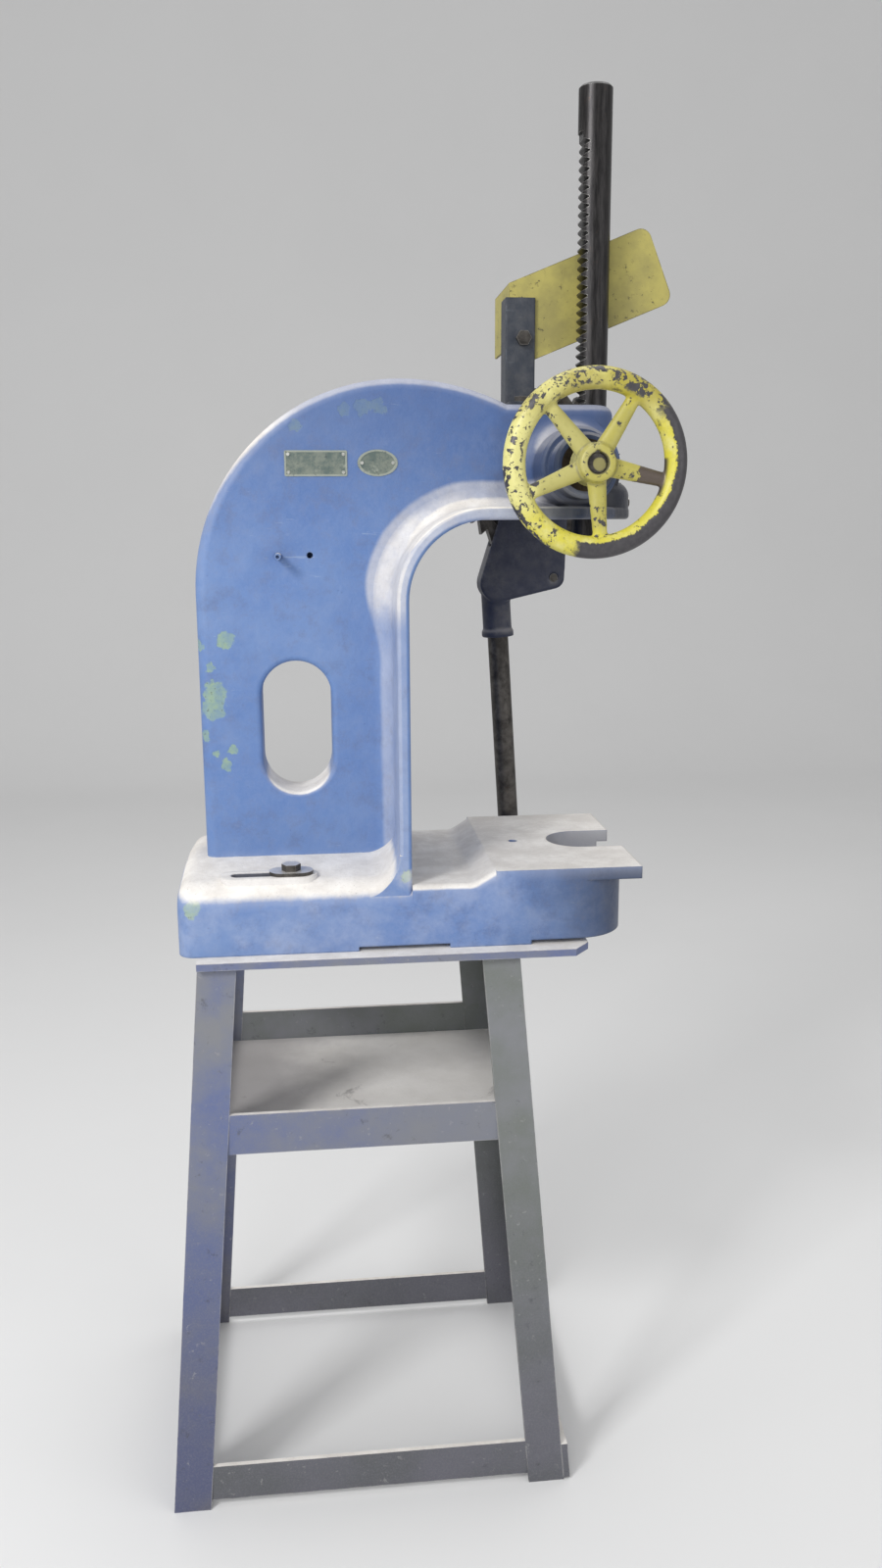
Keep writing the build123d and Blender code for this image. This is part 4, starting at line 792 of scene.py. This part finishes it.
shelfLook = {
    "cream": (0.74, 0.71, 0.66),
    "pale": (0.90, 0.87, 0.82),
    "shade": (0.32, 0.30, 0.30),
    "stain": (0.16, 0.14, 0.13),
    "scratch": (0.24, 0.17, 0.14),
    "clouds": {"noise": (7.0, 6.0, 0.6), "range": (0.3, 0.7)},
    "wander": {"noise": (6.0, 5.0, 0.6), "depth": 0.25},
    # Painted shade: the shelf darker towards the rear
    "rearward": {"across": (-0.05, -0.22), "share": 0.7},
    "stains": {"noise": (11.0, 7.0, 0.75, 0.8), "range": (0.60, 0.72), "share": 0.55},
    "scratches": {"noise": (30.0, 5.0, 0.8, 0.0), "stretch": (0.5, 9.0, 1.0), "turn": (0.0, 0.0, 0.6),
                  "range": (0.66, 0.70), "share": 0.5},
    "roughness": 0.9,
    "skin": {"noise": (200.0, 5.0), "strength": 0.3, "distance": 0.001},
}


def shelfSurface(name, look):
    mat, tree, shader = newMaterial(name)
    color = blendColor(tree, patches(tree, look["clouds"]), look["cream"], look["pale"])
    # Painted shade: the rear of the shelf darkened, where the press and the top plate shade it
    wander = uneven(tree, look["wander"]["noise"], look["wander"]["depth"])
    across = axisOf(tree, objectCoords(tree), 0)
    rearward = step(tree, plus(tree, across, wander), *look["rearward"]["across"])
    color = blendColor(tree, times(tree, rearward, look["rearward"]["share"]), color, look["shade"])
    color = blendColor(tree, patches(tree, look["stains"]), color, look["stain"])
    color = blendColor(tree, patches(tree, look["scratches"]), color, look["scratch"])
    plug(tree, shader.inputs["Base Color"], color)
    shader.inputs["Roughness"].default_value = look["roughness"]
    plug(tree, shader.inputs["Normal"], roughCast(tree, look["skin"]))
    return mat


shelfMat = shelfSurface("shelfDust", shelfLook)

fineLook = {
    "grain": (6.0, 0.7),
    "cut": (0.35, 0.65),
    "corner": {"radius": 0.0008, "edge": (0.03, 0.25), "share": 0.5},
    "brighter": 1.8,
    "finer": 5,
    "skinDetail": 3.0,
    "strength": 0.15,
    "distance": 0.0004,
}
rivetLook = {
    **fineLook,
    "dark": (0.34, 0.35, 0.33),
    "light": (0.55, 0.56, 0.53),
    "metal": 0.6,
    "roughness": 0.4,
    "scale": 90.0,
}
bronzeLook = {
    **fineLook,
    "dark": (0.020, 0.016, 0.013),
    "light": (0.060, 0.044, 0.028),
    "metal": 0.7,
    "roughness": 0.42,
    "scale": 60.0,
}
fibreLook = {
    **fineLook,
    "dark": (0.05, 0.035, 0.025),
    "light": (0.12, 0.08, 0.05),
    "metal": 0.0,
    "roughness": 0.85,
    "scale": 160.0,
}


def smallFinish(name, look):
    mat, tree, shader = newMaterial(name)
    clouds = noise(tree, look["scale"], *look["grain"])
    color = blendColor(tree, step(tree, clouds, *look["cut"]), look["dark"], look["light"])
    edges = nearEdge(tree, softNormal(tree, look["corner"]["radius"]), *look["corner"]["edge"])
    bright = tuple(min(1.0, v * look["brighter"]) for v in look["light"])
    color = blendColor(tree, times(tree, edges, look["corner"]["share"]), color, bright)
    plug(tree, shader.inputs["Base Color"], color)
    shader.inputs["Metallic"].default_value = look["metal"]
    shader.inputs["Roughness"].default_value = look["roughness"]
    skin = noise(tree, look["scale"] * look["finer"], look["skinDetail"])
    plug(tree, shader.inputs["Normal"], bump(tree, skin, look["strength"], look["distance"]))
    return mat


tarnishLook = {
    "field": (0.10, 0.135, 0.125),
    "tarnish": (0.20, 0.225, 0.19),
    "rim": (0.36, 0.385, 0.33),
    "stain": (0.045, 0.055, 0.06),
    "clouds": {"noise": (60.0, 7.0, 0.75), "range": (0.38, 0.62)},
    "worn": {"noise": (38.0, 6.0, 0.75), "range": (0.55, 0.66), "share": 0.6},
    "stains": {"noise": (140.0, 5.0, 0.7), "range": (0.60, 0.68), "share": 0.6},
    "rimWearSheenShare": 0.7,
    "metal": 0.3,
    "roughness": 0.6,
    "raised": {"strength": 0.7, "distance": 0.0006},
    "skin": {"noise": (320.0, 3.0), "strength": 0.2, "distance": 0.0004},
}
namePlateLook = {
    **tarnishLook,
    "centre": (-0.126, 0.0, 1.4265),
    "half": (0.041, 0.0165),
    "ends": (0.93, 0.945),
    "sides": (0.83, 0.865),
}
badgeLook = {**tarnishLook, "centre": (-0.045, 0.0, 1.427), "half": (0.0265, 0.017), "oval": (0.84, 0.87)}


def platePaint(name, look):
    # A bare plate: paler raised rim round a tarnished field; the rim's paleness is wear, and a painted highlight on
    # the raised border
    mat, tree, shader = newMaterial(name)
    across, _, high = placeFrom(tree, look["centre"])
    across = calc(tree, "DIVIDE", across, look["half"][0])
    high = calc(tree, "DIVIDE", high, look["half"][1])
    if "oval" in look:
        rim = step(tree, apart(tree, across, high), *look["oval"])
    else:
        ends = step(tree, unsigned(tree, across), *look["ends"])
        rim = most(tree, ends, step(tree, unsigned(tree, high), *look["sides"]))
    color = blendColor(tree, patches(tree, look["clouds"]), look["field"], look["tarnish"])
    color = blendColor(tree, patches(tree, look["worn"]), color, look["rim"])
    color = blendColor(tree, times(tree, rim, look["rimWearSheenShare"]), color, look["rim"])
    color = blendColor(tree, patches(tree, look["stains"]), color, look["stain"])
    plug(tree, shader.inputs["Base Color"], color)
    shader.inputs["Metallic"].default_value = look["metal"]
    shader.inputs["Roughness"].default_value = look["roughness"]
    raised = bump(tree, rim, look["raised"]["strength"], look["raised"]["distance"])
    plug(tree, shader.inputs["Normal"], roughCast(tree, look["skin"], raised))
    return mat


print("materials: small fittings")
namePlateMat = platePaint("tarnishedPlate", namePlateLook)
badgeMat = platePaint("tarnishedBadge", badgeLook)
rivetMat = smallFinish("paleRivet", rivetLook)
bronzeMat = smallFinish("oiledBronze", bronzeLook)
fibreMat = smallFinish("brakeFibre", fibreLook)

# Cast pieces: the solid's shape remeshed fine and relaxed, so that its corners run into each other
castLook = {"weld": 1e-5, "relax": 0.5}
wheelCastLook = {
    **castLook, "voxel": 0.0014, "rounds": 22, "finish": wheelMat, "body": "drive", "slot": "wheel_paint",
}
leverCastLook = {
    **castLook, "voxel": 0.0018, "rounds": 8, "finish": leverShadedMat, "body": "lever", "slot": "casting_paint",
}


def castCopy(name, source, look):
    bpy.ops.object.select_all(action="DESELECT")
    piece = bpy.data.objects.new(name, source.data.copy())
    scene.collection.objects.link(piece)
    piece.matrix_world = source.matrix_world.copy()
    piece.select_set(True)
    bpy.context.view_layer.objects.active = piece
    bpy.ops.object.transform_apply(location=True, rotation=True, scale=True)
    bpy.ops.object.mode_set(mode="EDIT")
    bpy.ops.mesh.select_all(action="SELECT")
    bpy.ops.mesh.remove_doubles(threshold=look["weld"])
    bpy.ops.mesh.normals_make_consistent(inside=False)
    bpy.ops.object.mode_set(mode="OBJECT")
    remesh = piece.modifiers.new("cast", "REMESH")
    remesh.mode = "VOXEL"
    remesh.voxel_size = look["voxel"]
    bpy.ops.object.modifier_apply(modifier="cast")
    relax = piece.modifiers.new("relax", "SMOOTH")
    relax.factor = look["relax"]
    relax.iterations = look["rounds"]
    bpy.ops.object.modifier_apply(modifier="relax")
    bpy.ops.object.shade_smooth()
    piece.data.materials.clear()
    piece.data.materials.append(look["finish"])
    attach(piece, look["body"])
    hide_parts(source.name)
    print(name, len(piece.data.polygons), "faces")


print("cast pieces")
castCopy("wheelCast", nodes["handwheel"], wheelCastLook)
castCopy("leverCast", nodes["lever_head"], leverCastLook)

# Every other node is dark steel
finishes = {
    "press_frame": castingMat, "side_stud": castingMat, "lever_head": leverShadedMat, "handwheel": wheelMat,
    "guard_plate": guardMat, "guard_post": postMat, "ram": ramMat,
    "ratchet_wheel": ratchetMat, "pinion_shaft": shaftMat, "lever_bar": ratchetMat,
    "name_plate": namePlateMat, "oval_badge": badgeMat, "plate_rivets": rivetMat,
    "bush_near": bronzeMat, "bush_far": bronzeMat, "ram_brake_pad": fibreMat,
    "handwheel_key": brightSteelMat, "ratchet_key": brightSteelMat,
    "stand_shelf": shelfMat, "stand_top_plate": plateMat,
    "leg_rear_near": violetMat, "leg_rear_far": violetMat, "leg_front_near": greenMat, "leg_front_far": greenMat,
    "mid_rail_near": violetMat, "mid_rail_far": greenMat, "mid_rail_rear": violetMat, "mid_rail_front": greenMat,
    "low_rail_near": greenMat, "low_rail_far": greenMat, "low_rail_rear": violetMat, "low_rail_front": greenMat,
}
for name, node in nodes.items():
    finish = finishes.get(name, darkSteelMat)
    for holder in node.material_slots:
        holder.material = finish
    if not node.material_slots:
        node.data.materials.append(finish)

# Plain studio: pale floor that runs up into a backdrop, soft lamps, one camera
studio = {
    "floor": (0.80, 0.80, 0.80),
    "floorHalf": 6.0,
    "backdrop": 7.0,
    "bend": 1.5,
    "bendSteps": 16,
    "tone": 0.96,
    "clouds": (1.5, 3.0),
    "roughness": 0.9,
    "specular": 0.1,
    "key": {"at": (-2.42, -2.5, 3.25), "aim": (0.0, 0.0, 1.0), "size": 0.9, "power": 81.0},
    "low": {"at": (-1.3, -2.9, 1.8), "aim": (-0.05, 0.0, 0.6), "size": 1.6, "power": 23.0},
    "fill": {"at": (2.6, -2.4, 1.8), "aim": (0.0, 0.0, 1.0), "size": 2.5, "power": 18.0},
    "top": {"at": (0.3, 0.6, 4.0), "aim": (0.0, 0.0, 1.0), "size": 2.5, "power": 34.0},
    "world": 0.52,
}


def studioFloor(look):
    bpy.ops.object.select_all(action="DESELECT")
    half = look["floorHalf"]
    bpy.ops.mesh.primitive_plane_add(size=2 * half, location=(0, 0, 0))
    floor = bpy.context.object
    floor.name = "studioFloor"
    bpy.ops.object.mode_set(mode="EDIT")
    bpy.ops.mesh.select_all(action="DESELECT")
    mesh = bmesh.from_edit_mesh(floor.data)
    for edge in mesh.edges:
        edge.select = all(v.co.y > half - 0.01 for v in edge.verts)
    mesh.select_flush_mode()
    bmesh.update_edit_mesh(floor.data)
    bpy.ops.mesh.extrude_region_move(TRANSFORM_OT_translate={"value": (0, 0, look["backdrop"])})
    bpy.ops.object.mode_set(mode="OBJECT")
    bend = floor.modifiers.new("soft", "BEVEL")
    bend.width = look["bend"]
    bend.segments = look["bendSteps"]
    bend.limit_method = "ANGLE"
    bpy.ops.object.modifier_apply(modifier="soft")
    bpy.ops.object.shade_smooth()
    mat, tree, shader = newMaterial("paleFloor")
    darker = tuple(v * look["tone"] for v in look["floor"])
    tint = blendColor(tree, noise(tree, *look["clouds"]), look["floor"], darker)
    plug(tree, shader.inputs["Base Color"], tint)
    shader.inputs["Roughness"].default_value = look["roughness"]
    shader.inputs["Specular IOR Level"].default_value = look["specular"]
    floor.data.materials.append(mat)


def lamp(name, look):
    data = bpy.data.lights.new(name, "AREA")
    data.size = look["size"]
    data.energy = look["power"]
    item = bpy.data.objects.new(name, data)
    scene.collection.objects.link(item)
    item.location = look["at"]
    item.rotation_euler = (Vector(look["aim"]) - Vector(look["at"])).to_track_quat("-Z", "Y").to_euler()


print("studio and camera")
studioFloor(studio)
for part in ("key", "low", "fill", "top"):
    lamp(part + "Lamp", studio[part])
world = bpy.data.worlds.new("studioWorld")
world.use_nodes = True
world.node_tree.nodes["Background"].inputs["Color"].default_value = (1.0, 1.0, 1.0, 1.0)
world.node_tree.nodes["Background"].inputs["Strength"].default_value = studio["world"]
scene.world = world

viewpoint = {"at": (-0.142, -1.711, 1.350), "turn": 6.1, "down": 12.0, "roll": -0.3, "lens": 28.26, "sensor": 36.0}
cameraData = bpy.data.cameras.new("camera")
cameraData.lens = viewpoint["lens"]
cameraData.sensor_width = viewpoint["sensor"]
camera = bpy.data.objects.new("camera", cameraData)
scene.collection.objects.link(camera)
turn, down, roll = (math.radians(viewpoint[k]) for k in ("turn", "down", "roll"))
forward = Vector((math.sin(turn) * math.cos(down), math.cos(turn) * math.cos(down), -math.sin(down)))
right = Vector((math.cos(turn), -math.sin(turn), 0.0))
up = right.cross(forward)
rolledRight = right * math.cos(roll) + up * math.sin(roll)
rolledUp = up * math.cos(roll) - right * math.sin(roll)
facing = Matrix((rolledRight, rolledUp, -forward)).transposed()
camera.matrix_world = Matrix.Translation(viewpoint["at"]) @ facing.to_4x4()
scene.camera = camera
scene.view_settings.view_transform = "Standard"

print("all pieces dressed")
